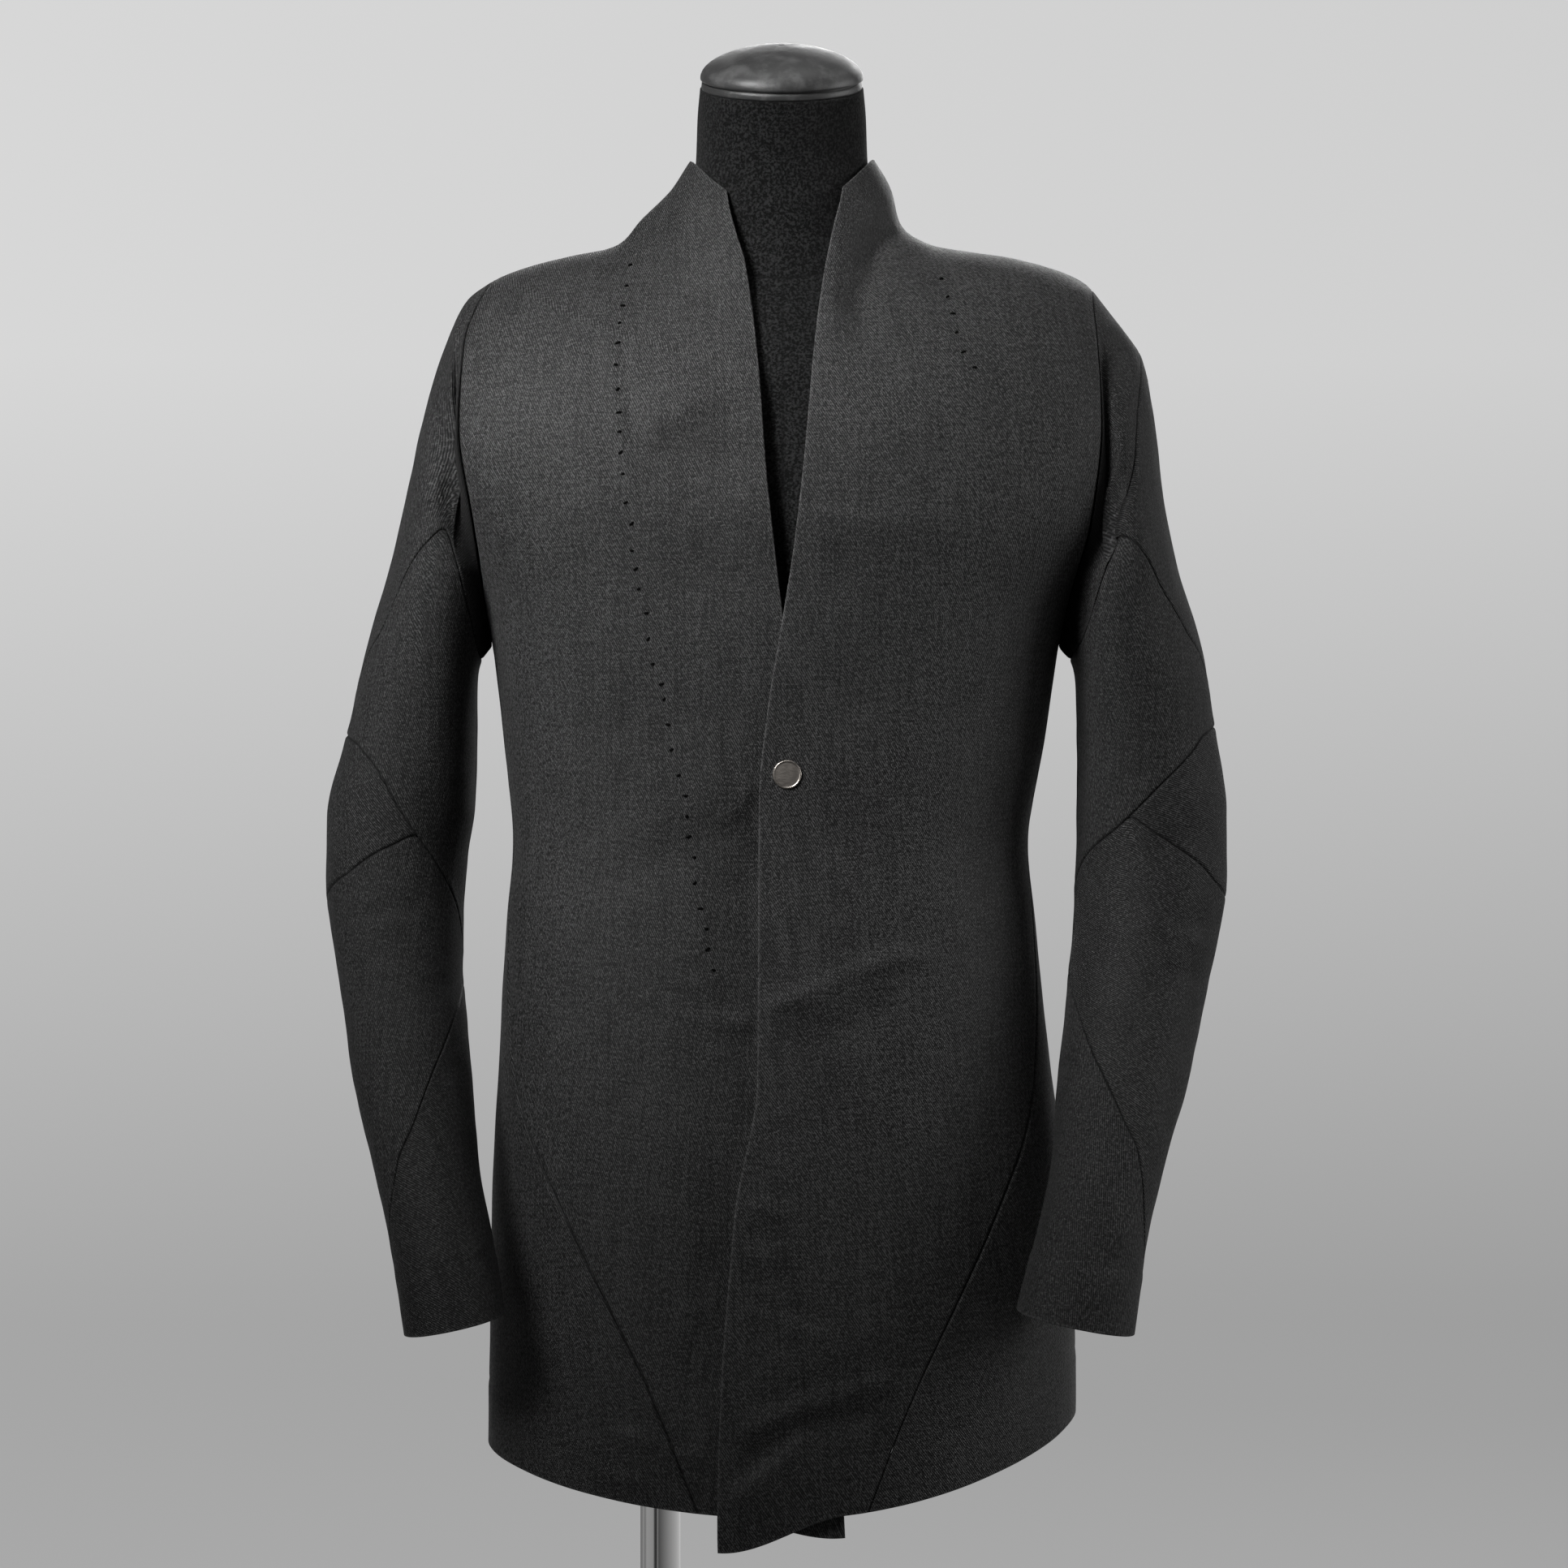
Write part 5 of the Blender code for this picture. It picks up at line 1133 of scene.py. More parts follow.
class Sleeve:
    """A sleeve's surface, over columns round the arm and rows down to the cuff."""

    def __init__(self, side, rings, slants, head_seam, folds, creases):
        self.side = side
        self.rings = rings
        self.slants = slants
        self.folds = folds
        self.creases = creases
        self.loop = armhole_loop(side)
        self.count = len(self.loop) - 1
        self.inner = ARMHOLE_STEPS + SIDE_COLUMNS // 2
        walked = travelled(self.loop, 0)
        under = walked[self.inner]
        down = 180 * walked / under
        up = 180 + 180 * (walked - under) / (walked[-1] - under)
        self.top_angles = np.where(walked <= under, down, up)
        high = self.armhole(np.arange(self.count + 1) + HEAD_COLUMN)[1]
        ahead = high < 180
        self.head_seam = ((0.0, high[0]), *head_seam)
        seam_end = head_seam[-1][1]
        top_range = np.where(ahead, 180 - high[0], 180 + high[0])
        stretch = np.where(ahead, 180 - seam_end, 180 + seam_end) - top_range
        self.nearness = np.abs(high - 180) / top_range
        stretched = stretch * self.nearness ** np.where(stretch > 0, STRETCH_POWER, 1.0)
        self.low_angles = high + np.where(ahead, -stretched, stretched)

    def armhole(self, column):
        """Point of the armhole at a column, and its angle round the arm."""
        wrapped = np.mod(column, self.count)
        places = np.arange(self.count + 1)
        angle = np.interp(wrapped, places, self.top_angles) + 360 * np.floor(column / self.count)
        return interpolated(wrapped, places, self.loop), angle

    def low_angle(self, column):
        """Angle round the arm at a column, below the bend seam."""
        turns = np.floor((column - HEAD_COLUMN) / self.count)
        places = np.arange(self.count + 1) + HEAD_COLUMN
        return np.interp(column - turns * self.count, places, self.low_angles) + 360 * turns

    def seam_nearness(self, column):
        """1 at the head seam, falling to 0 at the inner seam on both sides."""
        past_head = np.mod(column - HEAD_COLUMN, self.count)
        return np.interp(past_head, np.arange(self.count + 1), self.nearness) ** 2

    def seam_row(self, name, column):
        folded = np.abs(np.mod(self.low_angle(column) + 180, 360) - 180)
        if name == "elbow_bottom":
            width = smooth_curve(SLANT_ANGLES, self.slants["elbow_width"], folded)
            at_tip = smooth_curve(SLANT_ANGLES, self.slants["elbow_width"], ELBOW_REACH)
            width = np.maximum(width - at_tip, 0.0) * (folded < ELBOW_REACH)
            return self.seam_row("bend_bottom", column) + width
        return smooth_curve(SLANT_ANGLES, self.slants[name], folded)

    def point(self, column, row):
        column, row = np.broadcast_arrays(np.asarray(column, dtype=float), np.asarray(row, dtype=float))
        low = self.low_angle(column)
        loop, high = self.armhole(column)
        depth = np.clip(row / self.seam_row("bend_top", column), 0.0, 1.0)
        places, angles = zip(*self.head_seam)
        straight = angles[0] + (angles[-1] - angles[0]) * depth
        shift = (smooth_curve(places, angles, depth) - straight) * self.seam_nearness(column)
        left_over = loop - self.ring_point(high, np.zeros_like(row))
        fade = 1 - smooth_step(row / ARMHOLE_FADE)[..., None]
        return self.ring_point(high + (low - high) * depth + shift, row) + left_over * fade

    def ring_point(self, angle, row):
        def value(name):
            return table_value(self.rings, SLEEVE_COLUMNS, name, row)

        turn = np.radians(angle)
        across, deep = ring_factors(np.cos(turn), np.sin(turn), SLEEVE_POWER)
        x, z = ((value(axis + "_outer") * (1 + across) + value(axis + "_inner") * (1 - across)) / 2
                for axis in "xz")
        y = value("y_middle") - deep * value("half_depth")
        return np.stack((x, y, z), axis=-1)

    def grid(self, columns, rows):
        """Points and outward normals, with the folds on them."""
        base = self.point(columns, rows)
        normals = surface_normal(self.point, columns, rows, SLEEVE_SLOPE_STEPS) * self.side
        facing = np.sin(np.radians(self.low_angle(columns))) * SLEEVE_FACING
        ahead, behind = np.clip(facing, 0.0, 1.0), np.clip(-facing, 0.0, 1.0)
        front, back = (fold_height(base, folds) for folds in self.folds)
        waves = SLEEVE_RIPPLE * ripple(base * SLEEVE_RIPPLE_SCALE)
        height = (front * ahead + back * behind) * FOLD_SHARE + waves
        height *= smooth_step(rows / SLEEVE_FOLD_START)
        front, back = (crease_height(base, creases) for creases in self.creases)
        height += (front * ahead + back * behind) * smooth_step(rows / SLEEVE_CREASE_START)
        return base + normals * height[..., None], normals

    def column_at(self, angle):
        """Column at an angle between the inner seam behind the arm and the one ahead."""
        columns = np.arange(self.inner - self.count, self.inner + 1)
        return np.interp(angle, self.low_angle(columns), columns)

    def limits(self, name, columns):
        ends = {"armhole": 0.0, "cuff": CUFF_ROW}
        return np.full(len(columns), ends[name]) if name in ends else self.seam_row(name, columns)

    def panel(self, name, first, last, top, bottom, borders, grain):
        """Wall between two curves of rows, from one column to another."""
        fine = np.linspace(first, last, SLEEVE_ROUND_SAMPLES)
        middle = (self.limits(top, fine) + self.limits(bottom, fine)) / 2
        share = even_shares(self.point(fine, middle)[None])[0]
        columns = first + (last - first) * share
        high, low = self.limits(top, columns), self.limits(bottom, columns)
        sample = np.linspace(0.0, 1.0, SLEEVE_LINE_SAMPLES)
        lines = self.point(columns[:, None], high[:, None] + (low - high)[:, None] * sample)
        down = even_shares(lines).T
        rows = high * (1 - down) + low * down
        points, normals = self.grid(np.broadcast_to(columns, rows.shape), rows)
        # Painted shade: the sleeve's colour is dimmed, and darkened further in the hollow next to the armhole
        painted_light = np.full(rows.shape, SLEEVE_PAINTED_LIGHT)
        if top == "armhole":
            low = smooth_step((HOLLOW_TOP - points[..., 2]) / HOLLOW_FADE)
            painted_light *= 1 - HOLLOW_PAINTED_SHADE * low * (1 - smooth_step(travelled(points, 0) / HOLLOW_REACH))
        cloth_piece(name, points, normals, borders, grain, painted_light=painted_light)

    def build(self, prefix, grains):
        """The sleeve's six panels, from the armhole down."""
        tips = self.column_at(np.array((ELBOW_TIP - ELBOW_REACH, ELBOW_REACH - ELBOW_TIP)))
        round_arm = (self.inner - self.count, self.inner)
        sewn = ("seam",) * 4
        panels = (
            ("_sleeve_front", (HEAD_COLUMN, self.inner), "armhole", "bend_top", sewn),
            ("_sleeve_back", (self.inner, self.count + HEAD_COLUMN), "armhole", "bend_top", sewn),
            ("_sleeve_bend", round_arm, "bend_top", "bend_bottom", sewn),
            ("_sleeve_elbow", tuple(tips), "bend_bottom", "elbow_bottom", sewn),
            ("_sleeve_forearm", round_arm, "elbow_bottom", "cuff_top", sewn),
            ("_sleeve_cuff", round_arm, "cuff_top", "cuff", ("seam", "hem", "seam", "seam")),
        )
        for (suffix, columns, top, bottom, borders), grain in zip(panels, grains):
            self.panel(prefix + suffix, *columns, top, bottom, borders, grain)


class Nodes:
    """A node graph, built up from its values."""

    def __init__(self, tree):
        self.tree = tree

    def fill(self, node, inputs):
        for key, value in inputs.items():
            socket = node.inputs[key]
            if isinstance(value, bpy.types.NodeSocket):
                self.tree.links.new(value, socket)
            else:
                socket.default_value = value

    def add(self, kind, inputs, output=0, **settings):
        node = self.tree.nodes.new("ShaderNode" + kind)
        for key, value in settings.items():
            setattr(node, key, value)
        self.fill(node, inputs)
        return node.outputs[output]

    def axes(self, vector):
        return [self.add("SeparateXYZ", {"Vector": vector}, output=axis) for axis in range(3)]

    def math(self, operation, first, second=0.0, third=0.0):
        return self.add("Math", {0: first, 1: second, 2: third}, operation=operation)

    def product(self, *values):
        return reduce(lambda first, second: self.math("MULTIPLY", first, second), values)

    def total(self, *values):
        return reduce(lambda first, second: self.math("ADD", first, second), values)

    def between(self, value, low, high, new_low, new_high):
        inputs = {"Value": value, "From Min": low, "From Max": high, "To Min": new_low, "To Max": new_high}
        return self.add("MapRange", inputs)

    def swing(self, noise, low, high):
        """A noise's usual range, turned into values from low to high."""
        return self.between(noise, NOISE_LOW, NOISE_HIGH, low, high)

    def noise(self, vector, scale, detail=2.0, roughness=0.5):
        inputs = {"Vector": vector, "Scale": scale, "Detail": detail, "Roughness": roughness}
        return self.add("TexNoise", inputs)

    def streaks(self, vector, scales, detail=2.0):
        """Noise drawn out along the axes with small scales."""
        return self.noise(self.add("Mapping", {"Vector": vector, "Scale": scales}), 1.0, detail)

    def blend(self, share, first, second):
        return self.add("Mix", {0: share, 6: first, 7: second}, output=2, data_type="RGBA")


class Finish(Nodes):
    """A material, built up from its principled shader."""

    def __init__(self, name, **values):
        self.material = bpy.data.materials.new(name)
        self.material.use_nodes = True
        super().__init__(self.material.node_tree)
        self.shader = self.tree.nodes["Principled BSDF"]
        self.place = self.add("TexCoord", {}, output=3)
        self.put(**values)

    def put(self, **values):
        self.fill(self.shader, {key.replace("_", " "): value for key, value in values.items()})

    def attribute(self, label):
        return self.add("Attribute", {}, output=2, attribute_name=label)

    def seamed(self, colour, depth):
        """The colour, darkened along the seams."""
        return self.blend(self.product(self.attribute("seam"), depth), colour, grey(SEAM_BLACK))

    def bump(self, height, distance, strength=1.0):
        self.put(Normal=self.add("Bump", {"Height": height, "Distance": distance, "Strength": strength}))


def grey(value, warmth=0.0):
    return (value * (1 + warmth), value, value * (1 - warmth), 1.0)


def denim_finish():
    """Coated black twill with glossy ribs, dark seams and rubbed edges, with painted highlights on the rib
    crests, the glints and the edges, and painted shade in the grooves and on the sleeves.
    """
    made = Finish("coated_twill", Specular_IOR_Level=0.28, Sheen_Weight=0.04, Sheen_Roughness=0.5)
    grain = made.add("UVMap", {}, uv_map="grain")
    wave = made.add(
        "TexWave",
        {"Vector": grain, "Scale": 2 * math.pi / (20 * WALE_PITCH), "Distortion": 0.9,
         "Detail": 2.0, "Detail Scale": 1.2},
        output=1, wave_type="BANDS", bands_direction="X", wave_profile="SIN",
    )
    lean = {"Vector": grain, "Angle": math.radians(90.0 - WALE_SLOPE)}
    threads = made.add("VectorRotate", lean, rotation_type="Z_AXIS")
    floats = made.streaks(grain, (640.0, 330.0, 1.0))
    glints = made.between(made.noise(grain, 640.0, 1.0), 0.56, 0.66, 0.0, 1.0)
    fuzz = made.noise(grain, 2400.0)
    warp = made.streaks(threads, (620.0, 24.0, 1.0), 1.0)
    weft = made.streaks(threads, (38.0, 700.0, 1.0), 1.0)
    slubs = made.streaks(threads, (110.0, 8.0, 1.0))
    patches = made.noise(made.place, 9.0, 3.0, 0.6)
    # Share of the colour kept, a painted shade: dimmer on the sleeves and darkest in the hollows at the
    # armholes
    painted_light = made.attribute("painted_light")

    # Light rib crests and near-black grooves: the weave's pattern, and partly a painted highlight on the
    # crests and painted shade in the grooves
    crest = made.product(wave, made.between(floats, 0.32, 0.68, 0.15, 1.1))
    tone = made.product(crest, made.swing(warp, 0.58, 1.36), made.swing(weft, 0.60, 1.36),
                        made.swing(slubs, 0.82, 1.18), made.swing(patches, 0.85, 1.12))
    tone = made.product(made.total(tone, made.product(glints, 0.75)), painted_light)
    # Rubbed edges lightened: real wear, and partly a painted highlight along the rolled edges
    rubbed_and_highlit = made.product(made.attribute("edge_wear_and_highlight"), made.between(floats, 0.35, 0.60, 0.1, 1.0), 0.45)
    colour = made.blend(rubbed_and_highlit, made.blend(tone, grey(0.0020), grey(0.085)), grey(0.16))
    rough = made.total(made.swing(patches, 0.62, 0.72), made.between(painted_light, 0.0, 1.0, 0.33, 0.0),
                       made.product(crest, painted_light, -0.30), made.swing(slubs, -0.05, 0.05))
    made.put(Base_Color=made.seamed(colour, 0.85), Roughness=rough)
    made.bump(made.total(crest, made.product(fuzz, 0.30), made.product(floats, 0.60)), 0.00028)
    return made.material


def felt_finish():
    """Black jersey of the form, with fine light specks."""
    made = Finish("form_jersey", Roughness=0.95, Specular_IOR_Level=0.22, Sheen_Weight=0.05,
                  Sheen_Roughness=0.5)
    speck = made.noise(made.place, 560.0, 3.0, 0.6)
    cloud = made.noise(made.place, 14.0, 3.0)
    tone = made.product(made.between(speck, 0.44, 0.62, 0.0, 1.0), made.swing(cloud, 0.8, 1.1))
    made.put(Base_Color=made.seamed(made.blend(tone, grey(0.001), grey(0.026)), 0.9))
    made.bump(speck, 0.0006)
    return made.material


def satin_finish():
    """Dark satin of the cap, rubbed lighter in patches."""
    made = Finish("cap_satin", Specular_IOR_Level=0.7, Sheen_Weight=0.15, Sheen_Roughness=0.35)
    rubbing = made.noise(made.place, 60.0, 6.0, 0.65)
    weave = made.noise(made.place, 1400.0)
    colour = made.blend(made.between(rubbing, 0.50, 0.66, 0.0, 1.0), grey(0.045), grey(0.100))
    made.put(Base_Color=made.seamed(colour, 0.9), Roughness=made.swing(rubbing, 0.30, 0.55))
    made.bump(made.total(made.product(rubbing, 0.6), made.product(weave, 0.25)), 0.0006)
    return made.material


def chrome_finish():
    made = Finish("chrome_tube", Metallic=1.0, Base_Color=(0.78, 0.775, 0.77, 1.0))
    smear = made.streaks(made.place, (40.0, 40.0, 6.0), 4.0)
    made.put(Roughness=made.swing(smear, 0.05, 0.16))
    made.bump(made.streaks(made.place, (900.0, 900.0, 12.0)), 0.00002, 0.5)
    return made.material


def steel_finish():
    made = Finish("brushed_plate", Metallic=1.0)
    brushing = made.streaks(made.place, (12.0, 900.0, 60.0), 3.0)
    cloud = made.noise(made.place, 9.0, 3.0)
    made.put(Base_Color=made.blend(brushing, grey(0.42), grey(0.62)), Roughness=made.swing(cloud, 0.26, 0.40))
    made.bump(brushing, 0.00005, 0.6)
    return made.material


def snap_finish():
    made = Finish("snap_nickel", Metallic=1.0)
    brushing = made.streaks(made.place, (300.0, 300.0, 2400.0))
    made.put(Base_Color=made.blend(brushing, grey(0.46, 0.09), grey(0.62, 0.09)),
             Roughness=made.swing(brushing, 0.30, 0.42))
    made.bump(brushing, 0.00003, 0.5)
    return made.material


def thread_finish():
    made = Finish("black_thread", Roughness=0.9, Specular_IOR_Level=0.08)
    twist = made.noise(made.place, 2500.0)
    made.put(Base_Color=made.blend(twist, grey(0.001), grey(0.006)))
    made.bump(twist, 0.0001)
    return made.material


def ring_mesh(name, rings, seams=None):
    """Smooth closed skin over rings of points, with a centre point at each end."""
    rings = np.asarray(rings)
    count, sides = rings.shape[:2]
    vertices = np.concatenate((rings.reshape(-1, 3), rings[:1].mean(axis=1), rings[-1:].mean(axis=1)))
    corners, quads = grid_quads(count, sides, around=True)
    after = np.roll(corners, -1, axis=1)
    bottom = np.stack((after[0], corners[0], np.full(sides, count * sides)), axis=-1)
    top = np.stack((corners[-1], after[-1], np.full(sides, count * sides + 1)), axis=-1)
    mesh = new_mesh(name, vertices, quads.tolist() + bottom.tolist() + top.tolist())
    if seams is not None:
        store(mesh, "seam", np.append(seams, (0.0, 0.0)))
    return mesh


def neck_rings(turn):
    """Rings of the form's neck, and how far up each one lies in the table of them."""
    steps = np.arange(0.0, len(NECK_RINGS) - 1 + 1e-9, NECK_ROW_STEP)
    columns = [smooth_curve(range(len(NECK_RINGS)), column, steps)[:, None] for column in zip(*NECK_RINGS)]
    z_front, z_side, z_back, half_width, y_front, y_back = columns
    middle = (z_front + z_back) / 2
    return np.stack((
        NECK_CENTRE_X + half_width * np.sin(turn),
        (y_front + y_back) / 2 + (y_front - y_back) / 2 * np.cos(turn),
        middle + (z_front - z_back) / 2 * np.cos(turn) + (z_side - middle) * np.sin(turn) ** 2,
    ), axis=-1), steps


def form_torso():
    """Smooth torso and neck inside the garment, with its centre front and neck seams."""
    half = np.concatenate((FORM_SEAM_ANGLES, np.arange(FORM_ANGLE_START, 180.0, FORM_ANGLE_STEP)))
    angles = np.concatenate((half, [180.0], -half[:0:-1]))
    turn = np.radians(angles)
    rows = np.concatenate((np.arange(FORM_ROWS[0], NECK_ROW, FORM_ROW_STEP), [NECK_ROW]))
    front = np.clip(np.cos(turn), 0.0, 1.0) ** 2
    all_angles, all_rows = np.meshgrid(angles, rows)
    normals = surface_normal(form_surface, all_angles, all_rows, BODY_SLOPE_STEPS)
    inset = smooth_curve(FORM_ROWS, FORM_INSET, rows)[:, None] + FORM_FRONT_INSET * front
    torso = form_surface(all_angles, all_rows) - normals * inset[..., None]
    floor = torso[0] * (FORM_FLOOR_SHARE, FORM_FLOOR_SHARE, 0.0) + (0.0, 0.0, FORM_FLOOR)
    floors = [floor * (share, share, 1.0) for share in FORM_FLOOR_RINGS]
    neck, steps = neck_rings(turn)
    rings = np.concatenate((np.stack(floors), floor[None], torso, neck))
    height_in_neck = np.full(len(rings), -np.inf)
    height_in_neck[-len(neck):] = steps
    round_neck = bell((height_in_neck - NECK_SEAM_AT) / NECK_SEAM_WIDTH)[:, None] * np.ones_like(turn)
    below_neck = (height_in_neck < NECK_SEAM_AT)[:, None]
    centre = bell(rings[..., 0] / CENTRE_SEAM_WIDTH) * (np.cos(turn) > 0) * below_neck
    seams = np.maximum(round_neck, centre * CENTRE_SEAM_SHARE)
    outward = unit(unit(rings - rings.mean(axis=1, keepdims=True)) * (1, 1, 0))
    mesh = ring_mesh("form_torso", rings - outward * FORM_SEAM_DEPTH * seams[..., None], seams)
    place_piece("form_torso", mesh, felt, "form_torso")


def lathe_rings(profile, sides, place):
    turn = 2 * np.pi * np.arange(sides) / sides
    rings = [np.stack((radius * np.cos(turn), radius * np.sin(turn), np.full(sides, height)), axis=-1)
             for radius, height in profile]
    matrix = np.array(place)
    return np.asarray(rings) @ matrix[:3, :3].T + matrix[:3, 3]


def form_cap():
    """Domed cap of pulled satin over a narrow band."""
    z_front, _, z_back, _, y_front, y_back = NECK_RINGS[-1]
    tilt = math.atan2(z_back - z_front, y_back - y_front)
    centre = Matrix.Translation((NECK_CENTRE_X, (y_front + y_back) / 2, (z_front + z_back) / 2))
    place = centre @ Matrix.Rotation(tilt, 4, "X") @ Matrix.Translation((0.0, 0.0, TOUCH_GAP))
    insets, heights, darkness = zip(*CAP_RIM)
    profile = [(CAP_RADIUS - inset, height) for inset, height in zip(insets, heights)]
    for step in range(1, DOME_STEPS):
        turn = math.pi / 2 * step / DOME_STEPS
        profile.append((CAP_RADIUS * math.cos(turn) ** DOME_POWER - insets[-1] * math.cos(turn),
                        heights[-1] + (DOME_TOP - heights[-1]) * math.sin(turn)))
    profile.append((DOME_TIP, DOME_TOP))
    seams = np.zeros((len(profile), CAP_SIDES))
    seams[:len(darkness)] = np.array(darkness)[:, None]
    mesh = ring_mesh("form_cap", lathe_rings(profile, CAP_SIDES, place), seams)
    place_piece("form_cap", mesh, satin, "form_cap")


def snap_place():
    """Where the snap lies flat on the left front."""
    rows = np.linspace(ARMPIT_ROW - 2, ARMPIT_ROW, SNAP_ROW_SAMPLES)
    heights = body_point(np.zeros_like(rows), rows)[:, 2]
    row = np.interp(SNAP_Z, heights, rows)
    angle = math.degrees(math.asin(SNAP_X / body_point(90.0, row)[0]))
    points, normals = body_grid(np.array([angle]), np.array([row]), 1)
    turn = Vector(normals[0]).to_track_quat("Z", "Y").to_matrix().to_4x4()
    return Matrix.Translation(points[0] + normals[0] * SNAP_GAP) @ turn


def snap_cap():
    rim, high = SNAP_RADIUS, SNAP_THICKNESS
    profile = (
        (rim * 0.5, -0.0006), (rim - 0.0008, -0.0006), (rim - 0.0004, 0.0), (rim - 0.0001, 0.0004),
        (rim, 0.0008), (rim - 0.0001, high - 0.0004), (rim - 0.0004, high - 0.0001),
        (rim - 0.0007, high), (rim - 0.0010, high - 0.0001), (rim - 0.0013, high - 0.0003),
        (rim - 0.0020, high - 0.00034), (rim * 0.6, high - 0.0002), (rim * 0.3, high - 0.0001),
        (0.0005, high - 0.0001),
    )
    mesh = ring_mesh("snap_cap", lathe_rings(profile, STAND_SIDES, snap_place()))
    place_piece("snap_cap", mesh, nickel, "snap_cap")


def stand():
    """Tube and round plate that carry the form."""
    bottom = BASE_THICKNESS + TOUCH_GAP
    top = FORM_FLOOR - TOUCH_GAP
    wall, cut_back = POLE_RADIUS, POLE_CHAMFER
    profile = [(wall * 0.5, bottom), (wall - cut_back, bottom), (wall, bottom + cut_back)]
    profile += [(wall, height) for height in np.linspace(bottom + POLE_END, top - POLE_END, POLE_RINGS)]
    profile += [(wall, top - cut_back), (wall - cut_back, top), (wall * 0.5, top)]
    rings = lathe_rings(profile, STAND_SIDES, Matrix.Translation((POLE_X, 0.0, 0.0)))
    place_piece("pole", ring_mesh("pole", rings), chrome, "pole")
    rim, high, edge = BASE_RADIUS, BASE_THICKNESS, BASE_CHAMFER
    profile = [(rim * 0.5, 0.0), (rim - edge, 0.0), (rim - edge * 0.3, edge * 0.3), (rim, edge),
               (rim, high - edge), (rim - edge * 0.3, high - edge * 0.3), (rim - edge, high),
               (rim - edge * 1.6, high), (rim * 0.9, high), (rim * 0.6, high), (rim * 0.3, high),
               (0.02, high)]
    rings = lathe_rings(profile, 2 * STAND_SIDES, Matrix.Identity(4))
    place_piece("base_plate", ring_mesh("base_plate", rings), steel, "base_plate")


def room_world():
    """Dim surroundings in upright bands, which the bare metal mirrors."""
    world = bpy.data.worlds.new("studio")
    world.use_nodes = True
    made = Nodes(world.node_tree)
    x, y, z = made.axes(made.add("TexCoord", {}))
    turn = made.math("ARCTAN2", x, made.product(y, -1.0))
    bands = made.add("ValToRGB", {"Fac": made.math("MULTIPLY_ADD", turn, 1 / (2 * math.pi), 0.5)})
    stops = bands.node.color_ramp.elements
    for number, (degrees, value) in enumerate(ROOM_BANDS):
        stop = stops[number] if number < 2 else stops.new(0.5)
        stop.position = degrees / 360 + 0.5
        stop.color = grey(value)
    level = made.math("ABSOLUTE", made.total(z, ROOM_DIP))
    strength = made.between(level, *ROOM_FADE)
    made.fill(made.tree.nodes["Background"], {"Color": bands, "Strength": strength})
    bpy.context.scene.world = world


def backdrop():
    """Pale floor that sweeps up all round, glowing with painted light that brightens upward and dims towards
    +X.
    """
    profile = [(radius, 0.0) for radius in (*FLOOR_RINGS, FLOOR_RADIUS)]
    for turn in np.linspace(0.0, math.pi / 2, FLOOR_STEPS + 1)[1:]:
        profile.append((FLOOR_RADIUS + FLOOR_BEND * math.sin(turn), FLOOR_BEND * (1 - math.cos(turn))))
    profile.append((FLOOR_RADIUS + FLOOR_BEND, FLOOR_TOP))
    corners, quads = grid_quads(len(profile), STAND_SIDES, around=True)
    rings = lathe_rings(profile, STAND_SIDES, Matrix.Identity(4))
    mesh = new_mesh("studio_floor", rings, quads.tolist() + [corners[0].tolist()])
    # Painted light: the backdrop glows, brighter higher up and dimmer towards +X, instead of being lit
    made = Finish("studio_paper", Roughness=0.9, Emission_Strength=1.0, Base_Color=grey(0.04))
    across, _, height = made.axes(made.place)
    rise = made.math("POWER", made.between(height, 0.0, PAPER_HEIGHT, 0.0, 1.0), PAPER_CURVE)
    shade = made.between(rise, 0.0, 1.0, *PAPER_PAINTED_LIGHT)
    shade = made.math("SUBTRACT", shade, made.product(across, PAPER_LIGHT_SLANT))
    made.put(Emission_Color=made.add("CombineColor", {"Red": shade, "Green": shade, "Blue": shade}))
    mesh.materials.append(made.material)
    floor = new_object("studio_floor", mesh)
    floor.visible_diffuse = False
    floor.visible_shadow = False
    floor.visible_glossy = False


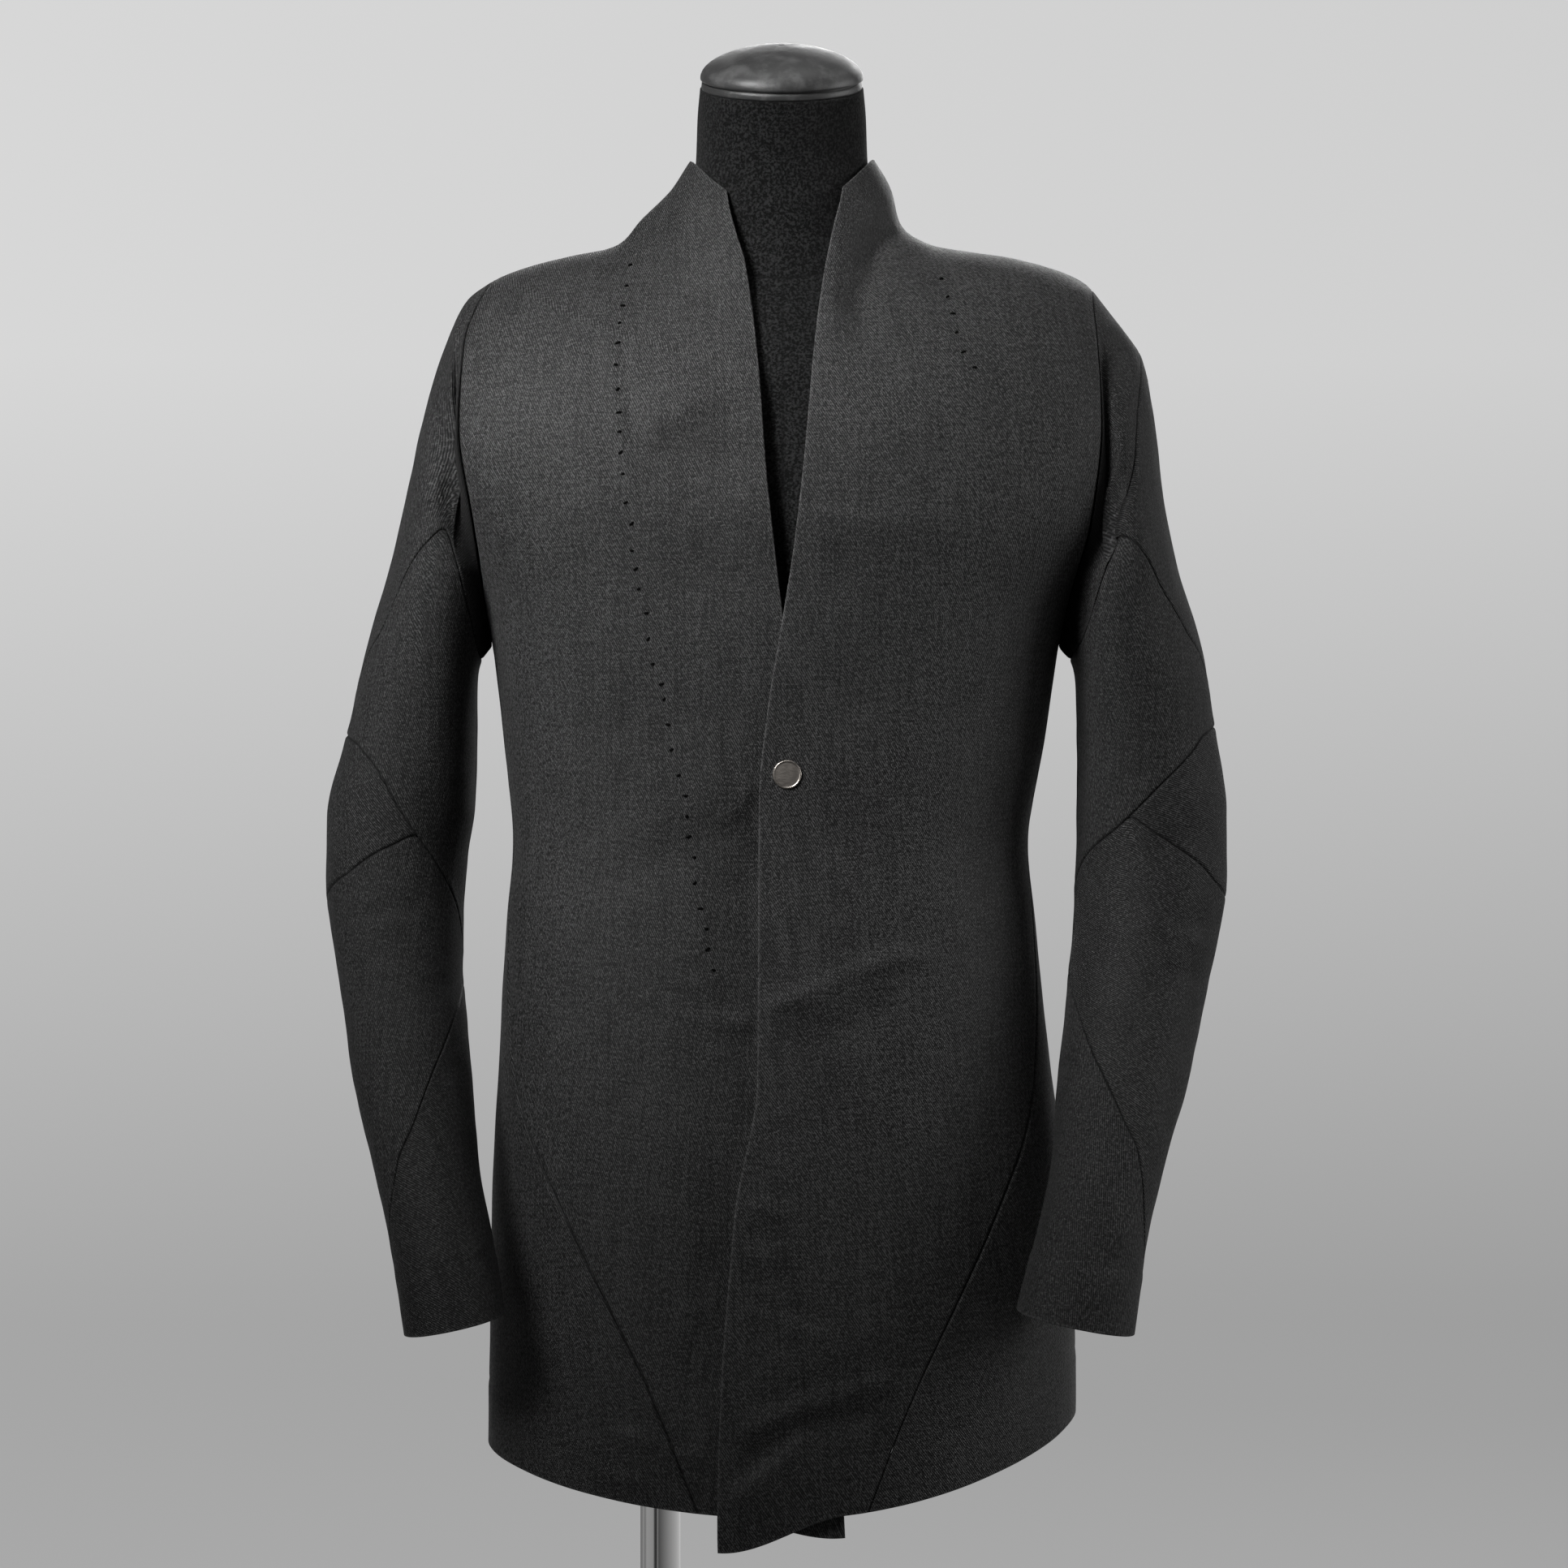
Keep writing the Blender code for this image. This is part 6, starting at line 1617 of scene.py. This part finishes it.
def soft_lights():
    for name, spot, target, width, height, wide, power in LIGHTS:
        light = bpy.data.lights.new(name, "AREA")
        light.shape = "RECTANGLE"
        light.size, light.size_y, light.energy = width, height, power
        light.spread = math.radians(wide)
        lamp = new_object(name, light)
        lamp.location = spot
        lamp.visible_camera = False
        lamp.rotation_mode = "QUATERNION"
        lamp.rotation_quaternion = (Vector(target) - Vector(spot)).to_track_quat("-Z", "Y")


def photo_camera():
    """The photo's view, straight from the front."""
    camera = bpy.data.cameras.new("camera")
    camera.sensor_width = CAMERA_SENSOR
    camera.lens = CAMERA_SENSOR / (PHOTO_WIDTH * PIXEL_SIZE / CAMERA_DISTANCE)
    camera.shift_x = PHOTO_SHIFT / PHOTO_WIDTH
    view = new_object("camera", camera)
    view.location = (0.0, -CAMERA_DISTANCE, CAMERA_HEIGHT)
    view.rotation_euler = (math.pi / 2, 0.0, 0.0)
    bpy.context.scene.camera = view
    bpy.context.scene.view_settings.view_transform = "Standard"


WIDENING = ring_widening()

denim = denim_finish()
felt = felt_finish()
satin = satin_finish()
chrome = chrome_finish()
steel = steel_finish()
nickel = snap_finish()
thread = thread_finish()

front_panel("left_front", LEFT_EDGE, 1, LEFT_CORNER_DROP, LEFT_BASTING)
front_panel("right_front", RIGHT_EDGE, -1, RIGHT_CORNER_DROP, RIGHT_BASTING)
side_panel("left_side_panel", 1)
side_panel("right_side_panel", -1)
back_panel()
back_collar()
left_sleeve = Sleeve(
    1, LEFT_SLEEVE, LEFT_SLANTS, LEFT_HEAD_SEAM, (LEFT_SLEEVE_FOLDS, LEFT_SLEEVE_BACK_FOLDS),
    (LEFT_SLEEVE_CREASES, LEFT_SLEEVE_BACK_CREASES))
right_sleeve = Sleeve(
    -1, RIGHT_SLEEVE, RIGHT_SLANTS, RIGHT_HEAD_SEAM, (RIGHT_SLEEVE_FOLDS, RIGHT_SLEEVE_BACK_FOLDS),
    (RIGHT_SLEEVE_CREASES, RIGHT_SLEEVE_BACK_CREASES))
left_sleeve.build("left", LEFT_SLEEVE_WALES)
right_sleeve.build("right", RIGHT_SLEEVE_WALES)
form_torso()
form_cap()
snap_cap()
stand()
backdrop()
room_world()
soft_lights()
photo_camera()
